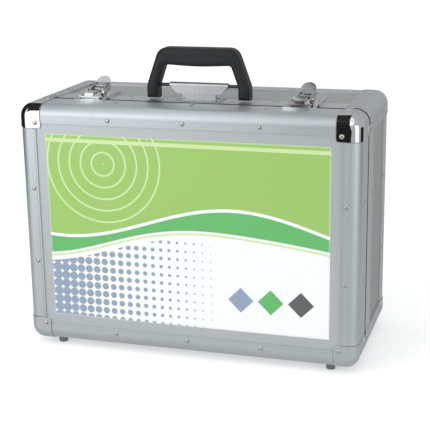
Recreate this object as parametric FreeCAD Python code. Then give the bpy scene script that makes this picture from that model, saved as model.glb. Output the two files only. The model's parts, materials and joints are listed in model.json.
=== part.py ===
"""Aluminium tool case standing on its hinge side, lid to the front (-Y), handle and latches on top.

The pieces are drawn in a case frame: X across, Y back from the lid's face, Z up from the hinge side.
They are then moved so that the origin lies under the middle of the case, on the floor.
"""
import FreeCAD, Part
import math
import os

V = FreeCAD.Vector

# Case body, in millimetres
CASE_WIDTH = 320.0
CASE_HEIGHT = 230.0
CASE_DEPTH = 150.0
LID_DEPTH = 38.0
PARTING_GAP = 0.6

# Extruded edges and boards
EDGE_ROUND = 10.0
CORNER_ROUND = 12.0
SKIN = 1.2
FACE_BOARD = 4.0
WALL_BOARD = 4.0
SLOT_FIT = 0.05
SLOT_END = 0.2
EDGE_FLANGE = 17.0
LID_EDGE_DEPTH = 20.0
BASE_EDGE_DEPTH = 26.0
SEAM = 0.3
FLANGE_LINE = 15.4
WALL_LINE = 13.5
LINE_WIDTH = 0.5
LINE_DEPTH = 0.3
CORNER_ARM = 22.0
CAP_DEPTH = 13.0
CORNER_PROUD = 0.6
CORNER_SEAM = 0.4
TAB_RADIUS = 4.4
TAB_RISE = 0.7
CHROME_ROUND = 2.0
CAP_ROUND = 5.0
PANEL_CORNER = 8.0

# Closing rims with tongue and groove
BASE_RIM_DEPTH = 26.0
LID_RIM_END = 3.0
BASE_RIM_END = 4.5
TONGUE_THICK = 1.2
TONGUE_HEIGHT = 2.0
GROOVE_GAP = 0.7
GROOVE_END = 0.6
PARTING_STEP = 1.0
PARTING_CUT = 1.0

# Lining, dividers and tool pallet
LINING = 2.0
LINING_GAP = 0.2
LINING_SETBACK = 1.0
LINING_ROUND = 5.0
DIVIDER = 4.0
DIVIDER_TOP = 58.0
DIVIDER_LEVEL = 118.0
DIVIDER_SPREAD = 52.0
DIVIDER_GAP = 0.3
LAP_GAP = 0.2
PALLET = 2.5
PALLET_GAP = 0.2
PALLET_MARGIN = 4.0
LOOP_BAND = 24.0
LOOP_THICK = 1.4
LOOP_RISE = 3.4
LOOP_PITCH = 30.0
LOOP_STITCH = 5.0
LOOP_COUNT = 8
LOOP_SPACING = 80.0

# Printed sheet on the lid
LABEL_SIDE_MARGIN = 26.0
LABEL_END_MARGIN = 26.5
LABEL_THICK = 0.2

# Rivets
RIVET_HEAD = 2.3
RIVET_DOME = 1.0
RIVET_SHANK = 1.2
RIVET_LENGTH = 4.0
RIVET_HOLE = 0.05
RIVET_PITCH = 71.0
FLANGE_RIVET = 12.2
CAP_RIVET = 17.0
WALL_RIVET = 3.5
CENTRE_RIVET = 6.0
GUARD_RIVET = 6.0
POST_RIVET = 6.5
POST_MID_RIVET = 46.0

# Feet
FOOT_RADIUS = 4.5
FOOT_TAPER = 0.4
FOOT_HEIGHT = 6.5
FOOT_SIDE = 27.0
FOOT_INSET = 15.2
BACK_FOOT_RADIUS = 7.0
BACK_FOOT_HEIGHT = 6.0
BACK_FOOT_MARGIN = 40.0

# Hinges
HINGE_SIDE_MARGIN = 65.0
HINGE_WIDTH = 34.0
HINGE_LEAF = 14.0
LEAF_THICK = 1.2
KNUCKLE_RADIUS = 2.6
KNUCKLE_MID = 12.0
KNUCKLE_GAP = 0.2
KNUCKLE_CLEAR = 0.4
PIN_RADIUS = 1.2
PIN_FIT = 0.05
HINGE_RIVET_X = 11.0

# Lid stay: a slotted arm, with its pivot and its stud at one radius from the hinge
LID_OPEN = 100.0
STAY_SPREAD = 7.0
STAY_BACK_GAP = 1.5
STAY_WIDTH = 10.0
STAY_THICK = 1.5
STAY_PIN = 2.0
STAY_HEAD = 3.4
STAY_HEAD_THICK = 1.0
STAY_FIT = 0.08
STAY_SLIDE = 0.3
STAY_GAP = 0.4
STAY_HOLE = 0.4

# Handle
HANDLE_BACK = 14.0
HANDLE_PIVOT = 14.0
HANDLE_TOP = 49.0
HANDLE_HALF = 49.2
HANDLE_SHOULDER = 36.8
LEG_WIDTH = 10.6
GRIP_THICK = 15.6
GRIP_BELLY = 1.6
GRIP_DEPTH = 18.0
GRIP_EDGE = 4.5
GRIP_CORNER = 11.0
GRIP_INNER = 3.0
KNEE_ROUND = 14.0
BELLY_ROUND = 260.0
LEG_SWING = 12.4
ROD_RADIUS = 1.6
ROD_FIT = 0.08
ROD_SEAT = 0.03
ROD_DEPTH = 6.0
BRACKET_BASE = 44.0
BRACKET_DEEP = 22.0
BRACKET_PLATE = 1.2
BRACKET_NECK = 4.6
BRACKET_NECK_HALF = 16.0
BRACKET_ROUND = 7.0
BRACKET_LOW = 6.4
BRACKET_LOW_HALF = 21.5
BRACKET_TOP_HALF = 28.0
BRACKET_THICK = 5.8
BRACKET_RIVET_X = 17.0
BRACKET_RIVET_Y = 8.0

# Draw latches
LATCH_SIDE_MARGIN = 60.0
LATCH_WIDTH = 30.0
LATCH_PLATE = 1.2
LATCH_PLATE_LENGTH = 30.0
LATCH_PLATE_START = 2.0
LATCH_RAIL = 4.0
LATCH_RAIL_THICK = 1.4
LATCH_PIVOT_BACK = 8.0
LATCH_PIVOT_HEIGHT = 5.0
LATCH_REST = 12.0
EAR_THICK = 1.5
EAR_GAP = 0.5
EAR_HALF = 4.0
EAR_TOP = 3.4
LEVER_HALF = 7.0
LEVER_WALL = 1.5
LEVER_LENGTH = 19.0
LEVER_UP = 3.5
LEVER_DOWN = 3.0
LEVER_NOSE = 3.2
LEVER_COVER = 9.8
THUMB_LENGTH = 7.0
THUMB_RISE = 3.8
LATCH_PIN = 1.5
LATCH_PIN_FIT = 0.05
LATCH_PIN_SEAT = 0.02
CLAW_ARM = 7.0
CLAW_HALF = 4.5
CLAW_THICK = 1.8
CLAW_BARREL = 2.2
CLAW_PIN = 1.2
CLAW_HOOK = 1.8
CLAW_DROP = 1.6
KEEPER_LENGTH = 12.0
KEEPER_SETBACK = 1.5
KEEPER_LIP = 4.0
KEEPER_LIP_THICK = 1.4
KEEPER_LIP_HALF = 9.0
KEEPER_LIP_BACK = 6.6
KEEPER_BEAD = 2.2
KEEPER_BEAD_THICK = 1.6
KEEPER_BOW = 1.6
KEEPER_GAP = 0.6
KEEPER_SPREAD = 12.5
LATCH_RIVET_GAP = 0.1
LATCH_RIVET_Y = 25.0
LOCK_BOSS = 3.6
LOCK_DEPTH = 1.5
LOCK_PLUG = 2.7
LOCK_FIT = 0.05
LOCK_PROUD = 0.5
LOCK_THUMB_GAP = 0.1
KEY_LENGTH = 3.4
KEY_WIDTH = 0.9
KEY_DEPTH = 2.5
CAM_LENGTH = 4.5
CAM_WIDTH = 3.0
CAM_THICK = 1.0

# Worked-out sizes
HALF_W = CASE_WIDTH / 2
HALF_H = CASE_HEIGHT / 2
SLOT_WALL = WALL_BOARD + 2 * SLOT_FIT
SLOT_FACE = FACE_BOARD + 2 * SLOT_FIT
INNER_U = SKIN + SLOT_WALL + SKIN
INNER_V = SKIN + SLOT_FACE + SKIN
LID_END = LID_DEPTH - PARTING_GAP / 2
BASE_START = LID_DEPTH + PARTING_GAP / 2
BASE_RIM_STOP = LID_DEPTH + BASE_RIM_DEPTH
HINGE_Z = -(KNUCKLE_RADIUS + KNUCKLE_CLEAR)
LINED_U = INNER_U + LINING_GAP + LINING
LINED_V = INNER_V + LINING_GAP + LINING
HINGE_X = HALF_W - HINGE_SIDE_MARGIN
LATCH_X = HALF_W - LATCH_SIDE_MARGIN
HANDLE_Y = LID_DEPTH + HANDLE_BACK
LATCH_Y = LID_DEPTH + LATCH_PIVOT_BACK
LATCH_Z = CASE_HEIGHT + LATCH_PIVOT_HEIGHT
LATCH_RIVET_X = LATCH_WIDTH / 2 - LATCH_RAIL_THICK - RIVET_HEAD - LATCH_RIVET_GAP
LOCK_PLACE = LEVER_LENGTH - LEVER_WALL - LOCK_PLUG - LOCK_THUMB_GAP
FRONT_PROUD = CORNER_PROUD + RIVET_DOME
TAB_PROUD = CORNER_PROUD + TAB_RISE
GUARD_TABS = (LID_DEPTH - GUARD_RIVET,)
POST_TABS = (LID_DEPTH + POST_RIVET, CASE_DEPTH - CAP_DEPTH - POST_RIVET)
ORIGIN = V(0, -(CASE_DEPTH + BACK_FOOT_HEIGHT - FRONT_PROUD) / 2, FOOT_HEIGHT)

SIDES = ("top", "bottom", "left", "right")


def at(side, along, inward, depth):
    """Point on one of the four walls: along it, inward from its outer face, back from the lid's face."""
    if side == "top":
        return V(along, depth, CASE_HEIGHT - inward)
    if side == "bottom":
        return V(along, depth, inward)
    if side == "right":
        return V(HALF_W - inward, depth, HALF_H + along)
    return V(-HALF_W + inward, depth, HALF_H + along)


def half_length(side):
    """Half the length of a wall along its run."""
    return HALF_W if side in ("top", "bottom") else HALF_H


def half_run(side):
    """Half the length of an extrusion between two corner pieces."""
    return half_length(side) - CORNER_ARM - CORNER_SEAM


def outward(side):
    """Outward direction of a wall."""
    return {"top": V(0, 0, 1), "bottom": V(0, 0, -1), "left": V(-1, 0, 0), "right": V(1, 0, 0)}[side]


def box(x0, x1, y0, y1, z0, z1):
    """Box from its low and high corners."""
    return Part.makeBox(x1 - x0, y1 - y0, z1 - z0, V(x0, y0, z0))


def box_between(first, second):
    """Box between two opposite corners, given in any order."""
    low = V(min(first.x, second.x), min(first.y, second.y), min(first.z, second.z))
    size = first - second
    return Part.makeBox(abs(size.x), abs(size.y), abs(size.z), low)


def round_along_y(shape, radius):
    """Shape with its straight edges along Y rounded."""
    return shape.makeFillet(radius, [e for e in shape.Edges if abs(e.tangentAt(e.FirstParameter).y) > 0.9])


def rod_x(x0, x1, y, z, radius):
    """Cylinder along X."""
    return Part.makeCylinder(radius, x1 - x0, V(x0, y, z), V(1, 0, 0))


def prism(points, path):
    """Solid swept straight along a path from a closed outline.

    A pair of points in the outline is an arc through the first to the second.
    """
    edges = []
    last = points[0]
    for item in points[1:] + [points[0]]:
        if isinstance(item, tuple):
            edges.append(Part.Arc(last, item[0], item[1]).toShape())
            last = item[1]
        elif not item.isEqual(last, 1e-7):
            edges.append(Part.makeLine(last, item))
            last = item
    return Part.Face(Part.Wire(edges)).extrude(path)


def outline_x(points, x0, x1):
    """Solid from a straight-sided outline of (y, z) points, swept along X."""
    return prism([V(x0, y, z) for y, z in points], V(x1 - x0, 0, 0))


def line_notch(centre):
    """Corners of a fine line pressed into an outer face, or nothing where there is no line."""
    if centre is None:
        return []
    low = centre - LINE_WIDTH / 2
    high = centre + LINE_WIDTH / 2
    return [(low, 0), (low, LINE_DEPTH), (high, LINE_DEPTH), (high, 0)]


def slotted_section(place, flange, wall, radius, face_slot, proud, flange_line=None, wall_line=None):
    """Outline of a rounded corner extrusion with a slot for a board in each arm.

    place turns (inward, depth) into a point, flange and wall are the arms' lengths,
    radius is where the rounding ends and the slots begin, and proud is how far the
    outer faces stand out of the case's own. Each arm can carry a fine pressed line.
    """
    bend = radius - (radius + proud) * math.cos(math.radians(45))
    inner_v = SKIN + face_slot + SKIN
    points = [place(flange, -proud)]
    points += [place(u, v) for u, v in reversed(line_notch(flange_line))]
    points.append(place(radius, -proud))
    points.append((place(bend, bend), place(-proud, radius)))
    points += [place(u, v) for v, u in line_notch(wall_line)]
    rest = [
        (-proud, wall), (SKIN, wall), (SKIN, radius), (SKIN + SLOT_WALL, radius), (SKIN + SLOT_WALL, wall),
        (INNER_U, wall), (INNER_U, inner_v), (flange, inner_v), (flange, SKIN + face_slot),
        (radius, SKIN + face_slot), (radius, SKIN), (flange, SKIN),
    ]
    return points + [place(*p) for p in rest]


def edge_extrusion(side, depth_of, wall):
    """Rounded edge extrusion along one side of the lid's or the base's large face."""
    half = half_run(side)

    def place(inward, depth):
        return at(side, -half, inward, depth_of(depth))

    points = slotted_section(place, EDGE_FLANGE, wall, EDGE_ROUND, SLOT_FACE, 0.0, FLANGE_LINE, WALL_LINE)
    return prism(points, at(side, half, 0, 0) - at(side, -half, 0, 0))


def corner_point(corner, first, second, depth):
    """Point near a corner post: inward from the side wall and from the top or bottom wall."""
    sign_x, sign_z = corner
    z = CASE_HEIGHT - second if sign_z > 0 else second
    return V(sign_x * (HALF_W - first), depth, z)


CORNERS = ((-1, 1), (1, 1), (-1, -1), (1, -1))


def post_length(corner, start, stop, proud):
    """Straight length of a corner post between two depths."""

    def place(first, second):
        return corner_point(corner, first, second, start)

    points = slotted_section(place, CORNER_ARM, CORNER_ARM, CORNER_ROUND, SLOT_WALL, proud)
    return prism(points, V(0, stop - start, 0))


def corner_post(corner, end, mouth, tab_depths):
    """Rounded post at one corner of the case, from its cap to its stepped mouth at the parting line.

    At each tab depth both arms carry a raised round tab for a rivet.
    """
    step = mouth - math.copysign(PARTING_STEP, mouth - end)
    post = post_length(corner, end, step, CORNER_PROUD)
    post = post.fuse(post_length(corner, step, mouth, CORNER_PROUD - PARTING_CUT))
    for depth in tab_depths:
        for place, direction in arm_spots(corner, depth, CORNER_PROUD):
            post = post.fuse(turned(Part.makeCylinder(TAB_RADIUS, TAB_RISE), direction, place))
    return post.removeSplitter()


def rounded_case(inset):
    """Whole case as one rounded block, shrunk inward by a wall."""
    block = box(-HALF_W + inset, HALF_W - inset, inset, CASE_DEPTH - inset, inset, CASE_HEIGHT - inset)
    block = round_along_y(block, CORNER_ROUND - inset)
    faces = [f for f in block.Faces if abs(f.normalAt(0, 0).y) > 0.9]
    rims = [e for f in faces for e in f.Edges]
    return block.makeFillet(EDGE_ROUND - inset, rims)


def corner_cap(shell, corner, front, inner_round):
    """Thin rounded cap over one corner of the lid's face or of the base's back."""
    low = corner_point(corner, CORNER_ARM, CORNER_ARM, -SKIN if front else CASE_DEPTH - CAP_DEPTH + SEAM)
    high = corner_point(corner, -SKIN, -SKIN, CAP_DEPTH - SEAM if front else CASE_DEPTH + SKIN)
    block = box_between(low, high)
    middles = [(edge, edge.CenterOfMass) for edge in block.Edges]
    inner = [edge for edge, m in middles if abs(m.x - low.x) < SLOT_FIT and abs(m.z - low.z) < SLOT_FIT]
    return shell.common(block.makeFillet(inner_round, inner))


def lid_rim(side):
    """Closing extrusion of the lid with a stepped outer edge and a tongue, along one wall."""
    half = half_run(side)
    start = LID_EDGE_DEPTH + SEAM
    tongue = (INNER_U - TONGUE_THICK) / 2
    section = [
        (0, start), (0, LID_END - PARTING_STEP), (PARTING_CUT, LID_END - PARTING_STEP),
        (PARTING_CUT, LID_END), (tongue, LID_END), (tongue, LID_END + TONGUE_HEIGHT),
        (tongue + TONGUE_THICK, LID_END + TONGUE_HEIGHT), (tongue + TONGUE_THICK, LID_END),
        (INNER_U, LID_END), (INNER_U, start), (SKIN + SLOT_WALL, start),
        (SKIN + SLOT_WALL, LID_END - LID_RIM_END), (SKIN, LID_END - LID_RIM_END), (SKIN, start),
    ]
    return prism([at(side, -half, *p) for p in section], at(side, half, 0, 0) - at(side, -half, 0, 0))


def base_rim(side):
    """Closing extrusion of the base with a stepped outer edge and a groove, along one wall."""
    half = half_run(side)
    groove = (INNER_U - TONGUE_THICK) / 2 - GROOVE_GAP
    groove_stop = groove + TONGUE_THICK + 2 * GROOVE_GAP
    bottom = LID_END + TONGUE_HEIGHT + GROOVE_END
    end = BASE_START + BASE_RIM_END
    section = [
        (0, BASE_RIM_STOP), (0, BASE_START + PARTING_STEP), (PARTING_CUT, BASE_START + PARTING_STEP),
        (PARTING_CUT, BASE_START), (groove, BASE_START), (groove, bottom),
        (groove_stop, bottom), (groove_stop, BASE_START), (INNER_U, BASE_START),
        (INNER_U, BASE_RIM_STOP), (SKIN + SLOT_WALL, BASE_RIM_STOP), (SKIN + SLOT_WALL, end),
        (SKIN, end), (SKIN, BASE_RIM_STOP),
    ]
    return prism([at(side, -half, *p) for p in section], at(side, half, 0, 0) - at(side, -half, 0, 0))


def wall_board(side, start, stop):
    """Flat board of one wall, with its edges in the slots around it."""
    half = half_length(side) - CORNER_ROUND - SLOT_END
    low = at(side, -half, SKIN + SLOT_FIT, start + SLOT_END)
    high = at(side, half, SKIN + SLOT_FIT + WALL_BOARD, stop - SLOT_END)
    return box_between(low, high)


def face_panel(depth_of):
    """Large panel of the lid's face or of the back, with rounded corners."""
    inset = EDGE_ROUND + SLOT_END
    y0, y1 = sorted((depth_of(SKIN + SLOT_FIT), depth_of(SKIN + SLOT_FIT + FACE_BOARD)))
    panel = box(-HALF_W + inset, HALF_W - inset, y0, y1, inset, CASE_HEIGHT - inset)
    return round_along_y(panel, PANEL_CORNER)


def lining(floor, mouth):
    """Soft tray inside one half, from its floor's outer face to its open mouth."""
    outer = INNER_U + LINING_GAP
    inward = LINING if mouth > floor else -LINING
    tray = box_between(V(-HALF_W + outer, floor, outer), V(HALF_W - outer, mouth, CASE_HEIGHT - outer))
    hollow = box_between(
        V(-HALF_W + LINED_U, floor + inward, LINED_U),
        V(HALF_W - LINED_U, mouth + inward, CASE_HEIGHT - LINED_U))
    return round_along_y(tray, LINING_ROUND + LINING).cut(round_along_y(hollow, LINING_ROUND))


def dome(radius, height):
    """Shallow dome on the XY plane, rising along Z."""
    ball = (radius * radius + height * height) / (2 * height)
    sphere = Part.makeSphere(ball, V(0, 0, height - ball))
    return sphere.common(box(-ball, ball, -ball, ball, 0, ball))


def turned(shape, direction, place):
    """Shape that points along Z, turned to a direction and moved to a place."""
    shape = shape.copy()
    shape.Placement = FreeCAD.Placement(place, FreeCAD.Rotation(V(0, 0, 1), direction))
    return shape


def rivet(place, direction):
    """Domed rivet on a face, with its shank going in."""
    shank = Part.makeCylinder(RIVET_SHANK, RIVET_LENGTH, V(0, 0, -RIVET_LENGTH))
    return turned(dome(RIVET_HEAD, RIVET_DOME).fuse(shank).removeSplitter(), direction, place)


def rivet_holes(spots):
    """Holes for the shanks of rivets."""
    depth = RIVET_LENGTH + RIVET_HOLE
    tool = Part.makeCylinder(RIVET_SHANK + RIVET_HOLE, depth + RIVET_DOME, V(0, 0, -depth))
    return Part.makeCompound([turned(tool, direction, place) for place, direction in spots])


def run_of(side):
    """Places along a wall where its rivets sit."""
    if side in ("top", "bottom"):
        return (-RIVET_PITCH, 0.0, RIVET_PITCH)
    return (-RIVET_PITCH / 2, RIVET_PITCH / 2)


def flange_spots(depth, direction):
    """Rivets of an edge extrusion's flange and of the four caps, on one large face."""
    spots = []
    for side in SIDES:
        spots += [(at(side, s, FLANGE_RIVET, depth), direction) for s in run_of(side)]
    proud = depth + direction.y * CORNER_PROUD
    return spots + [(corner_point(c, CAP_RIVET, CAP_RIVET, proud), direction) for c in CORNERS]


def arm_spots(corner, depth, proud):
    """Place and direction on each arm of a corner piece, at a depth and a height above the case's faces."""
    sign_x, sign_z = corner
    upright = "right" if sign_x > 0 else "left"
    level = "top" if sign_z > 0 else "bottom"
    return [
        (corner_point(corner, CAP_RIVET, -proud, depth), outward(level)),
        (corner_point(corner, -proud, CAP_RIVET, depth), outward(upright))]


def corner_spots(depths, proud):
    """Rivets on both arms of the corner pieces at some depths."""
    return [spot for corner in CORNERS for depth in depths for spot in arm_spots(corner, depth, proud)]


def lid_rivet_spots():
    """Every rivet on the lid's shell."""
    depth = LID_EDGE_DEPTH + WALL_RIVET
    spots = flange_spots(0.0, V(0, -1, 0))
    for side in SIDES:
        spots += [(at(side, s, 0, depth), outward(side)) for s in run_of(side)]
    spots.append((at("top", 0, 0, depth + CENTRE_RIVET), outward("top")))
    return spots + corner_spots(GUARD_TABS, TAB_PROUD)


def base_rivet_spots():
    """Every rivet on the base's shell."""
    rim_depth = BASE_RIM_STOP - WALL_RIVET
    edge_depth = CASE_DEPTH - BASE_EDGE_DEPTH + WALL_RIVET
    spots = flange_spots(CASE_DEPTH, V(0, 1, 0))
    for side in SIDES:
        spots += [(at(side, s, 0, edge_depth), outward(side)) for s in run_of(side)]
        places = (-RIVET_PITCH, RIVET_PITCH) if side == "top" else run_of(side)
        spots += [(at(side, s, 0, rim_depth), outward(side)) for s in places]
    spots += corner_spots(POST_TABS, TAB_PROUD)
    return spots + corner_spots((LID_DEPTH + POST_MID_RIVET,), CORNER_PROUD)


def foot(place, direction, radius, height):
    """Tapered foot standing out from a face."""
    return turned(Part.makeCone(radius, radius - FOOT_TAPER, height), direction, place)


def hinge_leaf(centre, lid):
    """Hinge leaf under the hinge side, with its knuckles on the hinge axis."""
    side = -1 if lid else 1
    near = LID_DEPTH + side * (KNUCKLE_RADIUS + KNUCKLE_CLEAR)
    far = LID_DEPTH + side * (KNUCKLE_RADIUS + HINGE_LEAF)
    half = HINGE_WIDTH / 2
    y0, y1 = sorted((near, far))
    leaf = box(centre - half, centre + half, y0, y1, -LEAF_THICK, 0)
    mid = KNUCKLE_MID / 2 - KNUCKLE_GAP
    spans = [(-half, -KNUCKLE_MID / 2), (KNUCKLE_MID / 2, half)] if lid else [(-mid, mid)]
    y0, y1 = sorted((near, LID_DEPTH + side * PARTING_GAP / 2))
    for x0, x1 in spans:
        leaf = leaf.fuse(rod_x(centre + x0, centre + x1, LID_DEPTH, HINGE_Z, KNUCKLE_RADIUS))
        leaf = leaf.fuse(box(centre + x0, centre + x1, y0, y1, -LEAF_THICK, 0))
    bore = rod_x(centre - half, centre + half, LID_DEPTH, HINGE_Z, PIN_RADIUS + PIN_FIT)
    return leaf.cut(bore).removeSplitter()


def hinge_spots(lid):
    """Rivets on the hinge leaves."""
    side = -1 if lid else 1
    depth = LID_DEPTH + side * (KNUCKLE_RADIUS + HINGE_LEAF / 2)
    places = [(x + dx, depth) for x in (-HINGE_X, HINGE_X) for dx in (-HINGE_RIVET_X, HINGE_RIVET_X)]
    return [(V(x, y, -LEAF_THICK), V(0, 0, -1)) for x, y in places]


def stay_places():
    """Lid pivot and base stud of the stay, as (y, z), and the arm's slot ends from its pivot.

    The arm is as long as the lined base is deep. Pivot and stud stand at one height, so that
    the stud meets the slot's far end when the lid is fully open.
    """
    start = LID_DEPTH - STAY_SPREAD
    reach = CASE_DEPTH - LINED_V - STAY_BACK_GAP - STAY_WIDTH - start
    half_open = math.radians(LID_OPEN) / 2
    rise = (reach / 2 - STAY_SPREAD * math.cos(half_open)) / math.sin(half_open)
    pivot = (start, HINGE_Z + rise)
    stud = (LID_DEPTH + STAY_SPREAD, HINGE_Z + rise)
    return pivot, stud, 2 * STAY_SPREAD, reach


def stay_planes():
    """Outer and inner X of the stay's arm beside the left wall's lining."""
    outer = -HALF_W + LINED_U + STAY_GAP
    return outer, outer + STAY_THICK


def round_ended(x0, x1, y0, y1, z, half):
    """Flat bar along Y with round ends about y0 and y1."""
    bar = box(x0, x1, y0, y1, z - half, z + half)
    return bar.fuse(rod_x(x0, x1, y0, z, half)).fuse(rod_x(x0, x1, y1, z, half))


def stay_arm():
    """Flat slotted arm, lying straight back from its pivot while the lid is shut."""
    pivot, _, near, far = stay_places()
    outer, inner = stay_planes()
    y, z = pivot
    half = STAY_WIDTH / 2
    arm = round_ended(outer, inner, y, y + far + half, z, half)
    slot = round_ended(outer, inner, y + near, y + far, z, STAY_PIN + STAY_SLIDE)
    return arm.cut(slot).cut(rod_x(outer, inner, y, z, STAY_PIN + STAY_FIT)).removeSplitter()


def stay_pin(place):
    """Shouldered pin of the stay, standing in from the left wall's board."""
    y, z = place
    outer, inner = stay_planes()
    board = -HALF_W + SKIN + SLOT_FIT + WALL_BOARD
    collar = rod_x(board + LINING_GAP + SKIN, outer - STAY_SLIDE / 2, y, z, STAY_HEAD)
    pin = rod_x(board - WALL_BOARD / 2, inner + STAY_SLIDE, y, z, STAY_PIN)
    head = rod_x(inner + STAY_SLIDE, inner + STAY_SLIDE + STAY_HEAD_THICK, y, z, STAY_HEAD)
    return pin.fuse(collar).fuse(head).removeSplitter()


def stay_clearance(place):
    """Room for a stay pin in the board, the extrusion and the lining."""
    y, z = place
    outer, _ = stay_planes()
    wide = rod_x(-HALF_W + SKIN + SLOT_WALL - SLOT_FIT, outer, y, z, STAY_HEAD + STAY_HOLE)
    narrow = rod_x(-HALF_W + SKIN, -HALF_W + LINED_U, y, z, STAY_PIN + SLOT_FIT)
    return wide.fuse(narrow)


def rounded_outline(corners, place):
    """Closed outline with a tangent arc at each corner that has a radius.

    corners holds (x, z, radius), the first with no radius, and place turns (x, z) into a point.
    """
    items = []
    for index, (x, z, radius) in enumerate(corners):
        if radius == 0:
            items.append(place(x, z))
            continue
        here = V(x, 0, z)
        before = V(corners[index - 1][0], 0, corners[index - 1][1]) - here
        after = V(corners[(index + 1) % len(corners)][0], 0, corners[(index + 1) % len(corners)][1]) - here
        before.normalize()
        after.normalize()
        half = before.getAngle(after) / 2
        inward = before + after
        inward.normalize()
        start = here + before * (radius / math.tan(half))
        middle = here + inward * (radius / math.sin(half) - radius)
        stop = here + after * (radius / math.tan(half))
        items.append(place(start.x, start.z))
        items.append((place(middle.x, middle.z), place(stop.x, stop.z)))
    return items


def handle_grip():
    """Moulded handle: a bridge with splayed legs, hanging on a rod at its pivot."""
    knee = CASE_HEIGHT + HANDLE_PIVOT
    low = knee - LEG_SWING
    crown = CASE_HEIGHT + HANDLE_TOP
    under = crown - GRIP_THICK
    splay = (HANDLE_HALF - HANDLE_SHOULDER) / (HANDLE_TOP - HANDLE_PIVOT)
    inner = HANDLE_HALF - LEG_WIDTH
    inner_top = inner - splay * (under - knee)
    y0 = HANDLE_Y - GRIP_DEPTH / 2
    left = [
        (-inner, low, 0.0), (-HANDLE_HALF, low, 0.0), (-HANDLE_HALF, knee, KNEE_ROUND),
        (-HANDLE_SHOULDER, crown, GRIP_CORNER),
    ]
    right = [(-x, z, radius) for x, z, radius in reversed(left)]
    opening = [
        (inner, knee, KNEE_ROUND), (inner_top, under, GRIP_INNER), (0.0, under - GRIP_BELLY, BELLY_ROUND),
        (-inner_top, under, GRIP_INNER), (-inner, knee, KNEE_ROUND),
    ]
    points = rounded_outline(left + right + opening, lambda x, z: V(x, y0, z))
    grip = prism(points, V(0, GRIP_DEPTH, 0))
    faces = [f for f in grip.Faces if abs(f.normalAt(0, 0).y) > 0.9]
    rims = [e for f in faces for e in f.Edges if e.BoundBox.ZMax > low + ROD_RADIUS]
    grip = grip.makeFillet(GRIP_EDGE, rims)
    below = box(-HALF_W, HALF_W, y0, y0 + GRIP_DEPTH, low - ROD_RADIUS, knee)
    swing = below.cut(rod_x(-HALF_W, HALF_W, HANDLE_Y, knee, LEG_SWING))
    reach = inner + ROD_DEPTH
    seat = rod_x(-reach, reach, HANDLE_Y, knee, ROD_RADIUS + ROD_SEAT)
    return grip.cut(swing).cut(seat)


def handle_rod():
    """Steel rod through the bracket, with its ends in the handle's legs."""
    end = HANDLE_HALF - LEG_WIDTH + ROD_DEPTH - ROD_SEAT
    return rod_x(-end, end, HANDLE_Y, CASE_HEIGHT + HANDLE_PIVOT, ROD_RADIUS)


def handle_bracket():
    """Pressed bracket: a riveted plate, a neck and a boat-shaped barrel for the rod."""
    top = CASE_HEIGHT
    plate = box_between(
        V(-BRACKET_BASE / 2, HANDLE_Y - BRACKET_DEEP / 2, top),
        V(BRACKET_BASE / 2, HANDLE_Y + BRACKET_DEEP / 2, top + BRACKET_PLATE))
    neck = box_between(
        V(-BRACKET_NECK_HALF, HANDLE_Y - BRACKET_NECK / 2, top + BRACKET_PLATE),
        V(BRACKET_NECK_HALF, HANDLE_Y + BRACKET_NECK / 2, top + BRACKET_LOW))
    y0 = HANDLE_Y - BRACKET_THICK / 2
    level = top + HANDLE_PIVOT
    low = top + BRACKET_LOW
    corners = [
        (BRACKET_TOP_HALF, level, 0.0), (-BRACKET_TOP_HALF, level, 0.0),
        (-BRACKET_LOW_HALF, low, BRACKET_ROUND), (BRACKET_LOW_HALF, low, BRACKET_ROUND),
    ]
    boat = prism(rounded_outline(corners, lambda x, z: V(x, y0, z)), V(0, BRACKET_THICK, 0))
    barrel = rod_x(-BRACKET_TOP_HALF, BRACKET_TOP_HALF, HANDLE_Y, level, BRACKET_THICK / 2)
    bore = rod_x(-HALF_W, HALF_W, HANDLE_Y, level, ROD_RADIUS + ROD_FIT)
    return plate.fuse(neck).fuse(boat).fuse(barrel).cut(bore).removeSplitter()


def bracket_spots():
    """Rivets of the handle bracket."""
    z = CASE_HEIGHT + BRACKET_PLATE
    signs = ((-1, -1), (-1, 1), (1, -1), (1, 1))
    return [(V(a * BRACKET_RIVET_X, HANDLE_Y + b * BRACKET_RIVET_Y, z), V(0, 0, 1)) for a, b in signs]


def latch_plate(centre):
    """Latch plate on the base, with side rails and two ears for the lever's pins."""
    top = CASE_HEIGHT
    half = LATCH_WIDTH / 2
    y0 = LID_DEPTH + LATCH_PLATE_START
    y1 = y0 + LATCH_PLATE_LENGTH
    ear_in = LEVER_HALF + EAR_GAP
    ear_out = ear_in + EAR_THICK
    shape = box(centre - half, centre + half, y0, y1, top, top + LATCH_PLATE)
    for sign in (-1, 1):
        edge = centre + sign * half
        rail = box_between(V(edge, y0, top), V(edge - sign * LATCH_RAIL_THICK, y1, top + LATCH_RAIL))
        x0, x1 = sorted((centre + sign * ear_in, centre + sign * ear_out))
        ear = box(x0, x1, LATCH_Y - EAR_HALF, LATCH_Y + EAR_HALF, top, LATCH_Z)
        crown = rod_x(x0, x1, LATCH_Y, LATCH_Z, EAR_HALF)
        crown = crown.common(box(x0, x1, LATCH_Y - EAR_HALF, LATCH_Y + EAR_HALF, LATCH_Z, LATCH_Z + EAR_TOP))
        shape = shape.fuse(rail).fuse(ear).fuse(crown)
    bore = rod_x(centre - ear_out, centre + ear_out, LATCH_Y, LATCH_Z, LATCH_PIN + LATCH_PIN_SEAT)
    return shape.cut(bore).removeSplitter()


def latch_pins(centre):
    """Two short pins through the ears into the lever's walls."""
    inner = LEVER_HALF - LEVER_WALL
    outer = LEVER_HALF + EAR_GAP + EAR_THICK
    right = rod_x(centre + inner, centre + outer, LATCH_Y, LATCH_Z, LATCH_PIN)
    left = rod_x(centre - outer, centre - inner, LATCH_Y, LATCH_Z, LATCH_PIN)
    return [left, right]


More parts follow.
